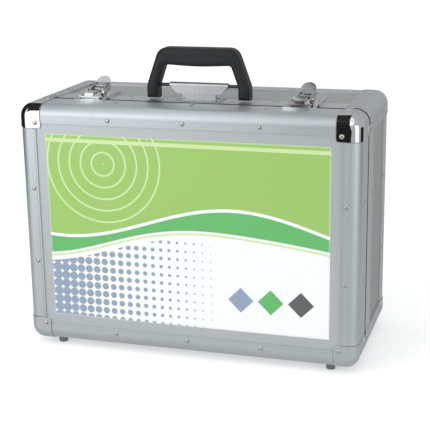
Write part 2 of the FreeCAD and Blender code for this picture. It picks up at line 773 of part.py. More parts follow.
def latch_lever(centre):
    """Lever as if latched: two walls on the pins, a cover plate, a lock boss and a thumb end."""
    walls = []
    for sign in (-1, 1):
        x0, x1 = sorted((centre + sign * LEVER_HALF, centre + sign * (LEVER_HALF - LEVER_WALL)))
        wall = box(x0, x1, LATCH_Y, LATCH_Y + LEVER_LENGTH, LATCH_Z - LEVER_DOWN, LATCH_Z + LEVER_UP)
        walls.append(wall.fuse(rod_x(x0, x1, LATCH_Y, LATCH_Z, LEVER_NOSE)))
    left = centre - LEVER_HALF
    right = centre + LEVER_HALF
    deck = LATCH_Z + LEVER_UP
    under = deck - LEVER_WALL
    far = LATCH_Y + LEVER_LENGTH
    cover = box(left, right, LATCH_Y + LEVER_COVER, far, under, deck)
    root = far - LEVER_WALL
    beyond = far + THUMB_LENGTH + LEVER_WALL
    rise = THUMB_RISE * (beyond - root) / (beyond - far)
    slope = [(root, under), (beyond, under + rise), (beyond, deck + rise), (root, deck)]
    thumb = outline_x(slope, left, right)
    bow_y = far + THUMB_LENGTH - LEVER_HALF
    tip_high = deck + rise
    tip = Part.makeCylinder(LEVER_HALF, tip_high - under, V(centre, bow_y, under))
    tip = tip.fuse(box(left, right, LATCH_Y, bow_y, under, tip_high))
    lock_y = LATCH_Y + LOCK_PLACE
    boss_low = LATCH_Z - LOCK_DEPTH
    boss = Part.makeCylinder(LOCK_BOSS, under - boss_low, V(centre, lock_y, boss_low))
    lock_bore = Part.makeCylinder(LOCK_PLUG + LOCK_FIT, deck - boss_low, V(centre, lock_y, boss_low))
    pin_bore = rod_x(left, right, LATCH_Y, LATCH_Z, LATCH_PIN + LATCH_PIN_FIT)
    claw_bore = rod_x(left, right, LATCH_Y + CLAW_ARM, LATCH_Z, CLAW_PIN + LATCH_PIN_FIT)
    lever = walls[0].fuse(walls[1]).fuse(cover).fuse(thumb.common(tip)).fuse(boss)
    return lever.cut(lock_bore).cut(pin_bore).cut(claw_bore).removeSplitter()


def latch_claw(centre):
    """Hooked strap as if latched, reaching from the lever over the keeper's lip."""
    low = CASE_HEIGHT + KEEPER_LIP + KEEPER_GAP
    high = low + CLAW_THICK
    hinge_y = LATCH_Y + CLAW_ARM
    hook_y = LID_DEPTH - KEEPER_LIP_BACK - KEEPER_LIP_THICK - KEEPER_GAP
    strap = box(centre - CLAW_HALF, centre + CLAW_HALF, hook_y - CLAW_HOOK, hinge_y, low, high)
    hook = box(centre - CLAW_HALF, centre + CLAW_HALF, hook_y - CLAW_HOOK, hook_y, low - CLAW_DROP, high)
    barrel = rod_x(centre - CLAW_HALF, centre + CLAW_HALF, hinge_y, LATCH_Z, CLAW_BARREL)
    pin = rod_x(centre - LEVER_HALF, centre + LEVER_HALF, hinge_y, LATCH_Z, CLAW_PIN)
    return strap.fuse(hook).fuse(barrel).fuse(pin).removeSplitter()


def lock_plug(centre):
    """Lock plug with a keyway and a cam, as if the lever were latched."""
    y = LATCH_Y + LOCK_PLACE
    top = LATCH_Z + LEVER_UP + LOCK_PROUD
    low = LATCH_Z - LOCK_DEPTH
    half = CAM_WIDTH / 2
    plug = Part.makeCylinder(LOCK_PLUG, top - low, V(centre, y, low))
    cam = box(centre - half, centre + half, y - CAM_LENGTH, y, low - CAM_THICK, low)
    hub = Part.makeCylinder(half, CAM_THICK, V(centre, y, low - CAM_THICK))
    key = box_between(
        V(centre - KEY_LENGTH / 2, y - KEY_WIDTH / 2, top - KEY_DEPTH),
        V(centre + KEY_LENGTH / 2, y + KEY_WIDTH / 2, top))
    return plug.fuse(cam).fuse(hub).cut(key).removeSplitter()


def keeper(centre):
    """Keeper plate on the lid: a bowed front bead and an upright lip for the claw."""
    top = CASE_HEIGHT
    left = centre - LATCH_WIDTH / 2
    right = centre + LATCH_WIDTH / 2
    y1 = LID_DEPTH - KEEPER_SETBACK
    y0 = y1 - KEEPER_LENGTH
    bead_y = y0 + KEEPER_BEAD_THICK
    lip_y = LID_DEPTH - KEEPER_LIP_BACK - KEEPER_LIP_THICK
    bow = (V(centre, y0 - KEEPER_BOW, top), V(right, y0, top))
    plate = prism([V(left, y1, top), V(left, y0, top), bow, V(right, y1, top)], V(0, 0, LATCH_PLATE))
    inner_bow = (V(centre, bead_y - KEEPER_BOW, top), V(left, bead_y, top))
    bead = prism([V(left, bead_y, top), V(left, y0, top), bow, V(right, bead_y, top), inner_bow],
                 V(0, 0, KEEPER_BEAD))
    lip = box_between(
        V(centre - KEEPER_LIP_HALF, lip_y, top),
        V(centre + KEEPER_LIP_HALF, lip_y + KEEPER_LIP_THICK, top + KEEPER_LIP))
    return plate.fuse(bead).fuse(lip).removeSplitter()


def keeper_spots():
    """Rivets of the keepers."""
    y = LID_DEPTH - KEEPER_SETBACK - KEEPER_LIP_THICK - RIVET_HEAD / 2
    z = CASE_HEIGHT + LATCH_PLATE
    places = [x + d for x in (-LATCH_X, LATCH_X) for d in (-KEEPER_SPREAD, KEEPER_SPREAD)]
    return [(V(x, y, z), V(0, 0, 1)) for x in places]


def latch_spots():
    """Rivets of the latch plates."""
    y = LID_DEPTH + LATCH_PLATE_START + LATCH_RIVET_Y
    z = CASE_HEIGHT + LATCH_PLATE
    places = [x + d for x in (-LATCH_X, LATCH_X) for d in (-LATCH_RIVET_X, LATCH_RIVET_X)]
    return [(V(x, y, z), V(0, 0, 1)) for x in places]


def raised(shape, angle):
    """Shape turned up about the lever's pivot."""
    shape = shape.copy()
    shape.rotate(V(0, LATCH_Y, LATCH_Z), V(1, 0, 0), angle)
    return shape


def lifted_claw(centre):
    """Claw carried by the raised lever, staying level."""
    claw = latch_claw(centre)
    angle = math.radians(LATCH_REST)
    claw.translate(V(0, CLAW_ARM * (math.cos(angle) - 1), CLAW_ARM * math.sin(angle)))
    return claw


def dividers():
    """Long divider and two cross dividers, lapped half and half."""
    edge = LINED_U + DIVIDER_GAP
    floor = CASE_DEPTH - LINED_V - DIVIDER_GAP
    half = DIVIDER / 2
    lap = half + LAP_GAP
    mid = (DIVIDER_TOP + floor) / 2
    low = DIVIDER_LEVEL - half
    high = DIVIDER_LEVEL + half
    long_one = box(-HALF_W + edge, HALF_W - edge, DIVIDER_TOP, floor, low, high)
    cross = []
    for x in (-DIVIDER_SPREAD, DIVIDER_SPREAD):
        piece = box(x - half, x + half, DIVIDER_TOP, floor, edge, CASE_HEIGHT - edge)
        notch = box(x - half, x + half, mid - LAP_GAP / 2, floor, DIVIDER_LEVEL - lap, DIVIDER_LEVEL + lap)
        cross.append(piece.cut(notch))
        long_one = long_one.cut(box(x - lap, x + lap, DIVIDER_TOP, mid + LAP_GAP / 2, low, high))
    return long_one, cross


def tool_pallet():
    """Stiff board in the lid that carries the tool loops."""
    edge = LINED_U + PALLET_MARGIN
    y = LINED_V + PALLET_GAP
    return box(-HALF_W + edge, HALF_W - edge, y, y + PALLET, edge, CASE_HEIGHT - edge)


def loop_band(level):
    """Elastic band sewn to the pallet in a row of loops."""
    y = LINED_V + PALLET_GAP + PALLET
    half = LOOP_PITCH / 2
    flat = half - LOOP_STITCH / 2
    band = None
    for index in range(LOOP_COUNT):
        x = (index - (LOOP_COUNT - 1) / 2) * LOOP_PITCH

        def p(dx, dy):
            return V(x + dx, y + dy, level - LOOP_BAND / 2)

        points = [
            p(-half, 0), p(-flat, 0), (p(0, LOOP_RISE), p(flat, 0)), p(half, 0), p(half, LOOP_THICK),
            p(flat, LOOP_THICK), (p(0, LOOP_RISE + LOOP_THICK), p(-flat, LOOP_THICK)), p(-half, LOOP_THICK),
        ]
        loop = prism(points, V(0, 0, LOOP_BAND))
        band = loop if band is None else band.fuse(loop)
    return band.removeSplitter()


def label():
    """Thin printed sheet on the lid's panel."""
    y = SKIN + SLOT_FIT
    half = HALF_W - LABEL_SIDE_MARGIN
    return box(-half, half, y - LABEL_THICK, y, LABEL_END_MARGIN, CASE_HEIGHT - LABEL_END_MARGIN)


def front(depth):
    """Depth counted from the lid's face."""
    return depth


def back(depth):
    """Depth counted from the case's back."""
    return CASE_DEPTH - depth


def build_shell(pieces):
    """Panels, edges, rims, walls, corners and caps of both halves, with their rivet holes."""
    shell = rounded_case(-CORNER_PROUD).cut(rounded_case(SKIN))
    pivot, stud, _, _ = stay_places()
    lid_spots = lid_rivet_spots() + hinge_spots(True) + keeper_spots()
    base_spots = base_rivet_spots() + hinge_spots(False) + bracket_spots() + latch_spots()
    lid_tools = rivet_holes(lid_spots).fuse(stay_clearance(pivot))
    base_tools = rivet_holes(base_spots).fuse(stay_clearance(stud))
    lid_walls = []
    for side in SIDES:
        pieces["lid_edge_" + side] = [edge_extrusion(side, front, LID_EDGE_DEPTH)]
        pieces["base_edge_" + side] = [edge_extrusion(side, back, BASE_EDGE_DEPTH)]
        pieces["lid_rim_" + side] = [lid_rim(side)]
        pieces["base_rim_" + side] = [base_rim(side)]
        lid_walls.append(wall_board(side, EDGE_ROUND, LID_END - LID_RIM_END))
        pieces["base_wall_" + side] = [wall_board(side, BASE_START + BASE_RIM_END, CASE_DEPTH - EDGE_ROUND)]
    pieces["lid_wall_boards"] = lid_walls
    pieces["lid_face_panel"] = [face_panel(front)]
    pieces["base_back_panel"] = [face_panel(back)]
    post_end = CASE_DEPTH - CAP_DEPTH
    pieces["lid_corner_guards"] = [corner_post(c, CAP_DEPTH, LID_END, GUARD_TABS) for c in CORNERS]
    pieces["base_corner_posts"] = [corner_post(c, post_end, BASE_START, POST_TABS) for c in CORNERS]
    pieces["lid_chrome_caps"] = [corner_cap(shell, c, True, CHROME_ROUND) for c in CORNERS if c[1] > 0]
    pieces["lid_plain_caps"] = [corner_cap(shell, c, True, CAP_ROUND) for c in CORNERS if c[1] < 0]
    pieces["base_corner_caps"] = [corner_cap(shell, c, False, CAP_ROUND) for c in CORNERS]
    pieces["lid_lining"] = [lining(INNER_V + LINING_GAP, LID_END - LINING_SETBACK)]
    pieces["base_lining"] = [lining(CASE_DEPTH - INNER_V - LINING_GAP, BASE_START + LINING_SETBACK)]
    for name, solids in pieces.items():
        tools = lid_tools if name.startswith("lid_") else base_tools
        pieces[name] = [solid.cut(tools) for solid in solids]
    pieces["lid_rivets"] = [rivet(*s) for s in lid_spots]
    pieces["base_rivets"] = [rivet(*s) for s in base_spots]


def build_fittings(pieces):
    """Feet, hinges, stay, handle, latches, dividers, pallet and label."""
    down = V(0, 0, -1)
    feet_x = (FOOT_SIDE - HALF_W, HALF_W - FOOT_SIDE)
    lid_holes = rivet_holes(hinge_spots(True) + keeper_spots())
    base_holes = rivet_holes(hinge_spots(False) + bracket_spots() + latch_spots())
    pivot, stud, _, _ = stay_places()
    long_one, cross = dividers()
    panel_y = CASE_DEPTH - SKIN - SLOT_FIT
    back_x = (BACK_FOOT_MARGIN - HALF_W, HALF_W - BACK_FOOT_MARGIN)
    back_z = (BACK_FOOT_MARGIN, CASE_HEIGHT - BACK_FOOT_MARGIN)
    for name, depth in (("lid_feet", FOOT_INSET), ("base_feet", CASE_DEPTH - FOOT_INSET)):
        pieces[name] = [foot(V(x, depth, 0), down, FOOT_RADIUS, FOOT_HEIGHT) for x in feet_x]
    pieces["back_feet"] = [
        foot(V(x, panel_y, z), V(0, 1, 0), BACK_FOOT_RADIUS, CASE_DEPTH + BACK_FOOT_HEIGHT - panel_y)
        for x in back_x for z in back_z]
    hinges = (-HINGE_X, HINGE_X)
    half = HINGE_WIDTH / 2
    pieces["hinge_lid_leaves"] = [hinge_leaf(x, True).cut(lid_holes) for x in hinges]
    pieces["hinge_base_leaves"] = [hinge_leaf(x, False).cut(base_holes) for x in hinges]
    pieces["hinge_pins"] = [rod_x(x - half, x + half, LID_DEPTH, HINGE_Z, PIN_RADIUS) for x in hinges]
    pieces["stay_pivot"] = [stay_pin(pivot)]
    pieces["stay_stud"] = [stay_pin(stud)]
    pieces["stay_arm"] = [stay_arm()]
    pieces["handle_grip"] = [handle_grip()]
    pieces["handle_rod"] = [handle_rod()]
    pieces["handle_bracket"] = [handle_bracket().cut(base_holes)]
    pieces["latch_keepers"] = [keeper(x).cut(lid_holes) for x in (-LATCH_X, LATCH_X)]
    pieces["latch_pins"] = latch_pins(-LATCH_X) + latch_pins(LATCH_X)
    for name, x in (("left", -LATCH_X), ("right", LATCH_X)):
        pieces["latch_plate_" + name] = [latch_plate(x).cut(base_holes)]
        pieces["latch_lever_" + name] = [raised(latch_lever(x), LATCH_REST)]
        pieces["latch_claw_" + name] = [lifted_claw(x)]
        pieces["lock_plug_" + name] = [raised(lock_plug(x), LATCH_REST)]
    pieces["divider_long"] = [long_one]
    pieces["dividers_cross"] = cross
    pieces["tool_pallet"] = [tool_pallet()]
    pieces["tool_loops"] = [loop_band(HALF_H + d) for d in (-LOOP_SPACING / 2, LOOP_SPACING / 2)]
    pieces["label_sheet"] = [label()]


def main():
    """Build every piece, move it to the part's frame and write it."""
    os.makedirs("parts", exist_ok=True)
    pieces = {}
    build_shell(pieces)
    build_fittings(pieces)
    for name, solids in pieces.items():
        shape = solids[0] if len(solids) == 1 else Part.makeCompound(solids)
        shape.translate(ORIGIN)
        if not shape.isValid():
            print("not valid:", name)
        print(name, len(shape.Solids), round(shape.Volume, 1))
        shape.exportStep("parts/" + name + ".step")


main()
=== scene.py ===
"""Looks of an aluminium tool case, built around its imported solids.

Sizes are in metres in the frame of the solids: X across the case, Y from the lid's face to the back, Z up.
"""

import json
import logging
import math
from dataclasses import dataclass
from enum import Enum
from typing import Optional, Sequence, Union

import bmesh
import bpy
from bmesh.types import BMesh, BMVert
from bpy.types import ID, Material, Mesh, Node, NodeSocket, NodeTree, Object
from mathutils import Matrix, Vector, noise

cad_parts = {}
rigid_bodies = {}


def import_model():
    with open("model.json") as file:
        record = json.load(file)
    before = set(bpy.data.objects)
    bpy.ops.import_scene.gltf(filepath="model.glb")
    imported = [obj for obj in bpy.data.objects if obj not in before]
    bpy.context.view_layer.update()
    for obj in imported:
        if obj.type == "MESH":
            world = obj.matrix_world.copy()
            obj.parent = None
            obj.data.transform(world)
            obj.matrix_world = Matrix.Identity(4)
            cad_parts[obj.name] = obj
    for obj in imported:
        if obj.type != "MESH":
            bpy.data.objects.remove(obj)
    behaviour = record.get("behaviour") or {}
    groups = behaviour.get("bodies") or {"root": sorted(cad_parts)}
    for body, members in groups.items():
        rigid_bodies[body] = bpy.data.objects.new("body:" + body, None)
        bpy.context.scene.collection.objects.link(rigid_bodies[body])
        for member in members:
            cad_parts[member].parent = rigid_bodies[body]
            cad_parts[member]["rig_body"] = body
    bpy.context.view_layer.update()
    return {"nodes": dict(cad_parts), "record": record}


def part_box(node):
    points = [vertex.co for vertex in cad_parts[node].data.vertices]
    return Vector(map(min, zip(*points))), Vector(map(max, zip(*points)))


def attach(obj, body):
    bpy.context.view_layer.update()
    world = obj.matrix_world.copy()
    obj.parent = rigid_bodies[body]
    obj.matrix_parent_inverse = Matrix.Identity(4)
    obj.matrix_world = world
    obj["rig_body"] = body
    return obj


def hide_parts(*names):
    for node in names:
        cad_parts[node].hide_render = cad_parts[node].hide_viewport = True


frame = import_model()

MM = 0.001
HANDS = ("left", "right")

# Copies of solids: reach for merging points, angles in degrees, and how edges are broken
MERGE_REACH = 0.002 * MM
FLAT_ANGLE = 0.5
SHARP_ANGLE = 35.0
SMOOTH_ANGLE = 50.0
EDGE_STEPS = 2
FLAT_WEIGHT = 80

log = logging.getLogger("case")

Number = Union["Field", float]
Colour = tuple[float, float, float]
Triple = tuple[float, float, float]
Place = tuple[Vector, Vector, Vector]


class Run(Enum):
    """Way along which a piece of metal was drawn or brushed."""

    ACROSS = 0
    DEEP = 1
    UP = 2
    NONE = 3

    def scales(self, fine: float, long: float) -> Triple:
        """Noise scales that are fine on every axis but the one along the run."""
        return tuple(long if axis == self.value else fine for axis in range(3))


class NodeGraph:
    """Node tree that short calls fill in."""

    def __init__(self, tree: NodeTree) -> None:
        """Keep the tree."""
        self.tree = tree

    def node(self, kind: str, sockets: Optional[dict] = None, settings: Optional[dict] = None) -> Node:
        """Add one node.

        Args:
            kind: The node's type.
            sockets: Values, fields or outputs for its inputs, by name or place.
            settings: Its properties, which are set first.

        Returns:
            The new node.
        """
        made = self.tree.nodes.new(kind)
        for key, value in (settings or {}).items():
            setattr(made, key, value)
        for key, value in (sockets or {}).items():
            self.feed(made.inputs[key], value)
        return made

    def feed(self, socket: NodeSocket, value: object) -> None:
        """Link a field or an output to an input, or set the input to a plain value.

        Args:
            socket: The input.
            value: A field, an output socket or a plain value; a colour has three numbers.
        """
        source = value.socket if isinstance(value, Field) else value
        if isinstance(source, NodeSocket):
            self.tree.links.new(source, socket)
        elif socket.type == "RGBA":
            socket.default_value = (*source, 1.0)
        else:
            socket.default_value = source

    def field(self, kind: str, sockets: dict, settings: Optional[dict] = None) -> "Field":
        """First output of a new node, as a field."""
        return Field(self, self.node(kind, sockets, settings).outputs[0])

    def split(self, vector: NodeSocket) -> list["Field"]:
        """The three parts of a vector."""
        parts = self.node("ShaderNodeSeparateXYZ", {0: vector}).outputs
        return [Field(self, socket) for socket in parts]

    def mix(self, share: Number, first: object, second: object) -> NodeSocket:
        """Colour between two colours, by a share from 0 to 1."""
        sockets = {0: share, 6: first, 7: second}
        return self.node("ShaderNodeMix", sockets, {"data_type": "RGBA"}).outputs[2]


class Field:
    """Number on an output socket; arithmetic on it adds Math nodes."""

    def __init__(self, graph: NodeGraph, socket: NodeSocket) -> None:
        """Keep the tree and the socket."""
        self.graph = graph
        self.socket = socket

    def math(self, operation: str, first: Number, second: Number = 0.0) -> "Field":
        """Result of one Math node."""
        return self.graph.field("ShaderNodeMath", {0: first, 1: second}, {"operation": operation})

    def __add__(self, other: Number) -> "Field":
        """Sum of two numbers."""
        return self.math("ADD", self, other)

    __radd__ = __add__

    def __sub__(self, other: Number) -> "Field":
        """This number less another."""
        return self.math("SUBTRACT", self, other)

    def __rsub__(self, other: Number) -> "Field":
        """Another number less this one."""
        return self.math("SUBTRACT", other, self)

    def __mul__(self, other: Number) -> "Field":
        """Product of two numbers."""
        return self.math("MULTIPLY", self, other)

    __rmul__ = __mul__

    def __truediv__(self, other: Number) -> "Field":
        """This number over another."""
        return self.math("DIVIDE", self, other)

    def sine(self) -> "Field":
        """Sine of an angle in radians."""
        return self.math("SINE", self)

    def size(self) -> "Field":
        """Number without its sign."""
        return self.math("ABSOLUTE", self)

    def root(self) -> "Field":
        """Square root."""
        return self.math("SQRT", self)

    def above(self, other: Number) -> "Field":
        """Larger of two numbers."""
        return self.math("MAXIMUM", self, other)

    def offset(self, pitch: float) -> "Field":
        """Distance, with its sign, from the nearest whole number of pitches."""
        return self - self.math("ROUND", self / pitch) * pitch

    def step(self, edge: Number, blur: float) -> "Field":
        """Smooth step from 0 to 1 where this number passes an edge."""
        ends = {"Value": self - edge, "From Min": -blur, "From Max": blur}
        return self.graph.field("ShaderNodeMapRange", ends, {"interpolation_type": "SMOOTHSTEP"})


class Shader(NodeGraph):
    """Material made of one Principled surface and fields over Object coordinates."""

    def __init__(self, name: str, constants: dict) -> None:
        """Start a material.

        Args:
            name: The material's name.
            constants: Socket values of the surface that are the same all over.
        """
        self.material = bpy.data.materials.new(name)
        self.material.use_nodes = True
        super().__init__(self.material.node_tree)
        self.surface = self.tree.nodes["Principled BSDF"]
        self.place = self.node("ShaderNodeTexCoord").outputs["Object"]
        for key, value in constants.items():
            self.feed(self.surface.inputs[key], value)

    def axes(self) -> list[Field]:
        """Object coordinates, one field for each axis."""
        return self.split(self.place)

    def noise(self, scales: Union[float, Triple], detail: float = 2.0) -> Field:
        """Random field from 0 to 1.

        Args:
            scales: One scale for every axis, or a scale along each axis.
            detail: Finer layers added to it.

        Returns:
            The field.
        """
        spread = (scales,) * 3 if isinstance(scales, float) else scales
        stretched = self.node("ShaderNodeMapping", {"Vector": self.place, "Scale": spread})
        sockets = {"Vector": stretched.outputs[0], "Scale": 1.0, "Detail": detail}
        return self.field("ShaderNodeTexNoise", sockets)

    def finish(self, colour: object, roughness: Number, height: Field, depth: float) -> Material:
        """Feed the surface.

        Args:
            colour: Base colour.
            roughness: Roughness over the surface.
            height: Relief from 0 to 1.
            depth: What a height of 1 stands for, in metres.

        Returns:
            The finished material.
        """
        sockets = {"Height": height, "Distance": depth, "Strength": 1.0}
        relief = self.node("ShaderNodeBump", sockets)
        self.feed(self.surface.inputs["Base Color"], colour)
        self.feed(self.surface.inputs["Roughness"], roughness)
        self.feed(self.surface.inputs["Normal"], relief.outputs[0])
        return self.material


@dataclass(frozen=True)
class PartingLine:
    """Stepped line round the case where lid and base meet, where shade is painted."""

    middle_y: float
    middle_z: float
    half_width: float
    half_height: float
    corner: float = 12.0 * MM
    # Band on either side of the parting where shade is painted, and how softly it fades
    painted_shade_half_band: float = 2.0 * MM
    painted_shade_fade: float = 0.6 * MM
    cut: float = 1.05 * MM
    blur: float = 0.03 * MM

    def mask(self, shader: Shader) -> Field:
        """Find the step's walls and a narrow strip of its lips, where a painted shade darkens the colour.

        Args:
            shader: The material that the mask is for.

        Returns:
            Mask that is 1 there.
        """
        x, y, z = shader.axes()
        side = (x.size() - (self.half_width - self.corner)).above(0.0)
        rise = ((z - self.middle_z).size() - (self.half_height - self.corner)).above(0.0)
        outside = (side * side + rise * rise).root() - self.corner
        near = 1 - (y - self.middle_y).size().step(self.painted_shade_half_band, self.painted_shade_fade)
        return near * outside.step(-self.cut, self.blur)


@dataclass(frozen=True)
class SatinMetal:
    """Satin or polished metal with lines along its run, cloudy patches, small scuffs and painted shade on
    the parting step.
    """

    name: str
    run: Run = Run.NONE
    light: Colour = (0.80, 0.86, 0.88)
    dark: Colour = (0.665, 0.72, 0.74)
    roughness: float = 0.5
    spread: float = 0.14
    lines: float = 2600.0
    line_depth: float = 0.02 * MM
    parting: Optional[PartingLine] = None
    # Colour of the painted shade on the parting step
    shade: Colour = (0.030, 0.031, 0.033)
    stretch: float = 0.004
    bands: float = 420.0
    band_stretch: float = 2.5
    patch: float = 17.0
    scuff: float = 150.0
    scuff_edge: float = 0.66

    def material(self) -> Material:
        """Build the material.

        Returns:
            The material, with shade painted on the step of the parting line where there is one.
        """
        shader = Shader(self.name, {"Metallic": 1.0})
        fine = shader.noise(self.run.scales(self.lines, self.lines * self.stretch))
        broad = shader.noise(self.run.scales(self.bands, self.band_stretch), 3.0)
        patches = shader.noise(self.patch, 3.0)
        scuffs = shader.noise(self.scuff, 4.0).step(self.scuff_edge, 0.05)
        share = 0.4 * broad + 0.35 * fine + 0.25 * patches
        colour = shader.mix(share.step(0.5, 0.3), self.dark, self.light)
        # Painted shade: the parting step and a strip of its lips are darkened as if in shadow
        if self.parting is not None:
            colour = shader.mix(self.parting.mask(shader), colour, self.shade)
        cloudy = 0.6 * patches + 0.4 * fine - 0.5
        rough = self.roughness + self.spread * cloudy + 0.5 * self.spread * scuffs
        return shader.finish(colour, rough, fine, self.line_depth)


@dataclass(frozen=True)
class FacedBoard:
    """Board faced with a thin silver film that has a fine pressed grain."""

    name: str
    light: Colour = (0.58, 0.612, 0.63)
    dark: Colour = (0.482, 0.512, 0.53)
    metallic: float = 0.5
    roughness: float = 0.44
    grain: float = 1500.0
    grain_depth: float = 0.05 * MM
    patch: float = 8.0
    rub: float = 70.0
    rub_edge: float = 0.64

    def material(self) -> Material:
        """Build the material.

        Returns:
            The material.
        """
        shader = Shader(self.name, {"Metallic": self.metallic})
        grain = shader.noise(self.grain)
        cloud = shader.noise(self.patch, 3.0)
        rubbed = shader.noise(self.rub, 4.0).step(self.rub_edge, 0.06)
        colour = shader.mix(0.55 * grain + 0.45 * cloud, self.dark, self.light)
        rough = self.roughness + 0.12 * (cloud - 0.5) + 0.06 * (grain - 0.5) - 0.05 * rubbed
        return shader.finish(colour, rough, grain, self.grain_depth)


@dataclass(frozen=True)
class DullSolid:
    """Moulded plastic, rubber, paint or faced card with a grain and handling marks."""

    name: str
    light: Colour
    dark: Colour
    roughness: float
    grain: float = 1100.0
    depth: float = 0.04 * MM
    coat: float = 0.0
    specular: float = 0.5
    coat_roughness: float = 0.25
    patch: float = 30.0
    mark: Triple = (260.0, 260.0, 90.0)
    mark_edge: float = 0.67

    def material(self) -> Material:
        """Build the material.

        Returns:
            The material.
        """
        shader = Shader(self.name, {
            "Coat Weight": self.coat,
            "Coat Roughness": self.coat_roughness,
            "Specular IOR Level": self.specular,
        })
        grain = shader.noise(self.grain, 3.0)
        cloud = shader.noise(self.patch, 3.0)
        marks = shader.noise(self.mark, 4.0).step(self.mark_edge, 0.05)
        share = 0.5 * cloud + 0.3 * grain + 0.5 * marks
        colour = shader.mix(share, self.dark, self.light)
        rough = self.roughness + 0.16 * (cloud - 0.5) + 0.1 * (grain - 0.5) - 0.06 * marks
        return shader.finish(colour, rough, grain, self.depth)


@dataclass(frozen=True)
class FlockedCloth:
    """Short flock on thin foam, dark and matt, with brushed streaks."""

    name: str
    light: Colour = (0.085, 0.088, 0.095)
    dark: Colour = (0.028, 0.029, 0.032)
    roughness: float = 0.86
    sheen: float = 0.35
    sheen_roughness: float = 0.5
    specular: float = 0.2
    hair: float = 2200.0
    streak: Triple = (22.0, 60.0, 35.0)
    pile: float = 0.25 * MM

    def material(self) -> Material:
        """Build the material.

        Returns:
            The material.
        """
        shader = Shader(self.name, {
            "Sheen Weight": self.sheen,
            "Sheen Roughness": self.sheen_roughness,
            "Specular IOR Level": self.specular,
        })
        hairs = shader.noise(self.hair, 3.0)
        brushed = shader.noise(self.streak, 3.0)
        colour = shader.mix(0.55 * hairs + 0.45 * brushed, self.dark, self.light)
        return shader.finish(colour, self.roughness + 0.1 * hairs, hairs + 0.6 * brushed, self.pile)


@dataclass(frozen=True)
class WovenElastic:
    """Black elastic with lengthwise ribs and a finer weft between them."""

    name: str
    light: Colour = (0.10, 0.10, 0.105)
    dark: Colour = (0.018, 0.018, 0.02)
    roughness: float = 0.9
    sheen: float = 0.2
    specular: float = 0.3
    rib: float = 1.2 * MM
    weft: float = 0.8 * MM
    fuzz: float = 3000.0
    depth: float = 0.3 * MM

    def material(self) -> Material:
        """Build the material.

        Returns:
            The material.
        """
        shader = Shader(self.name, {"Sheen Weight": self.sheen, "Specular IOR Level": self.specular})
        across, _, up = shader.axes()
        ribs = 0.5 + 0.5 * (up * (2 * math.pi / self.rib)).sine()
        weft = 0.5 + 0.5 * (across * (2 * math.pi / self.weft)).sine()
        weave = 0.55 * ribs + 0.3 * weft * ribs + 0.15 * shader.noise(self.fuzz)
        colour = shader.mix(weave, self.dark, self.light)
        return shader.finish(colour, self.roughness - 0.2 * ribs, weave, self.depth)


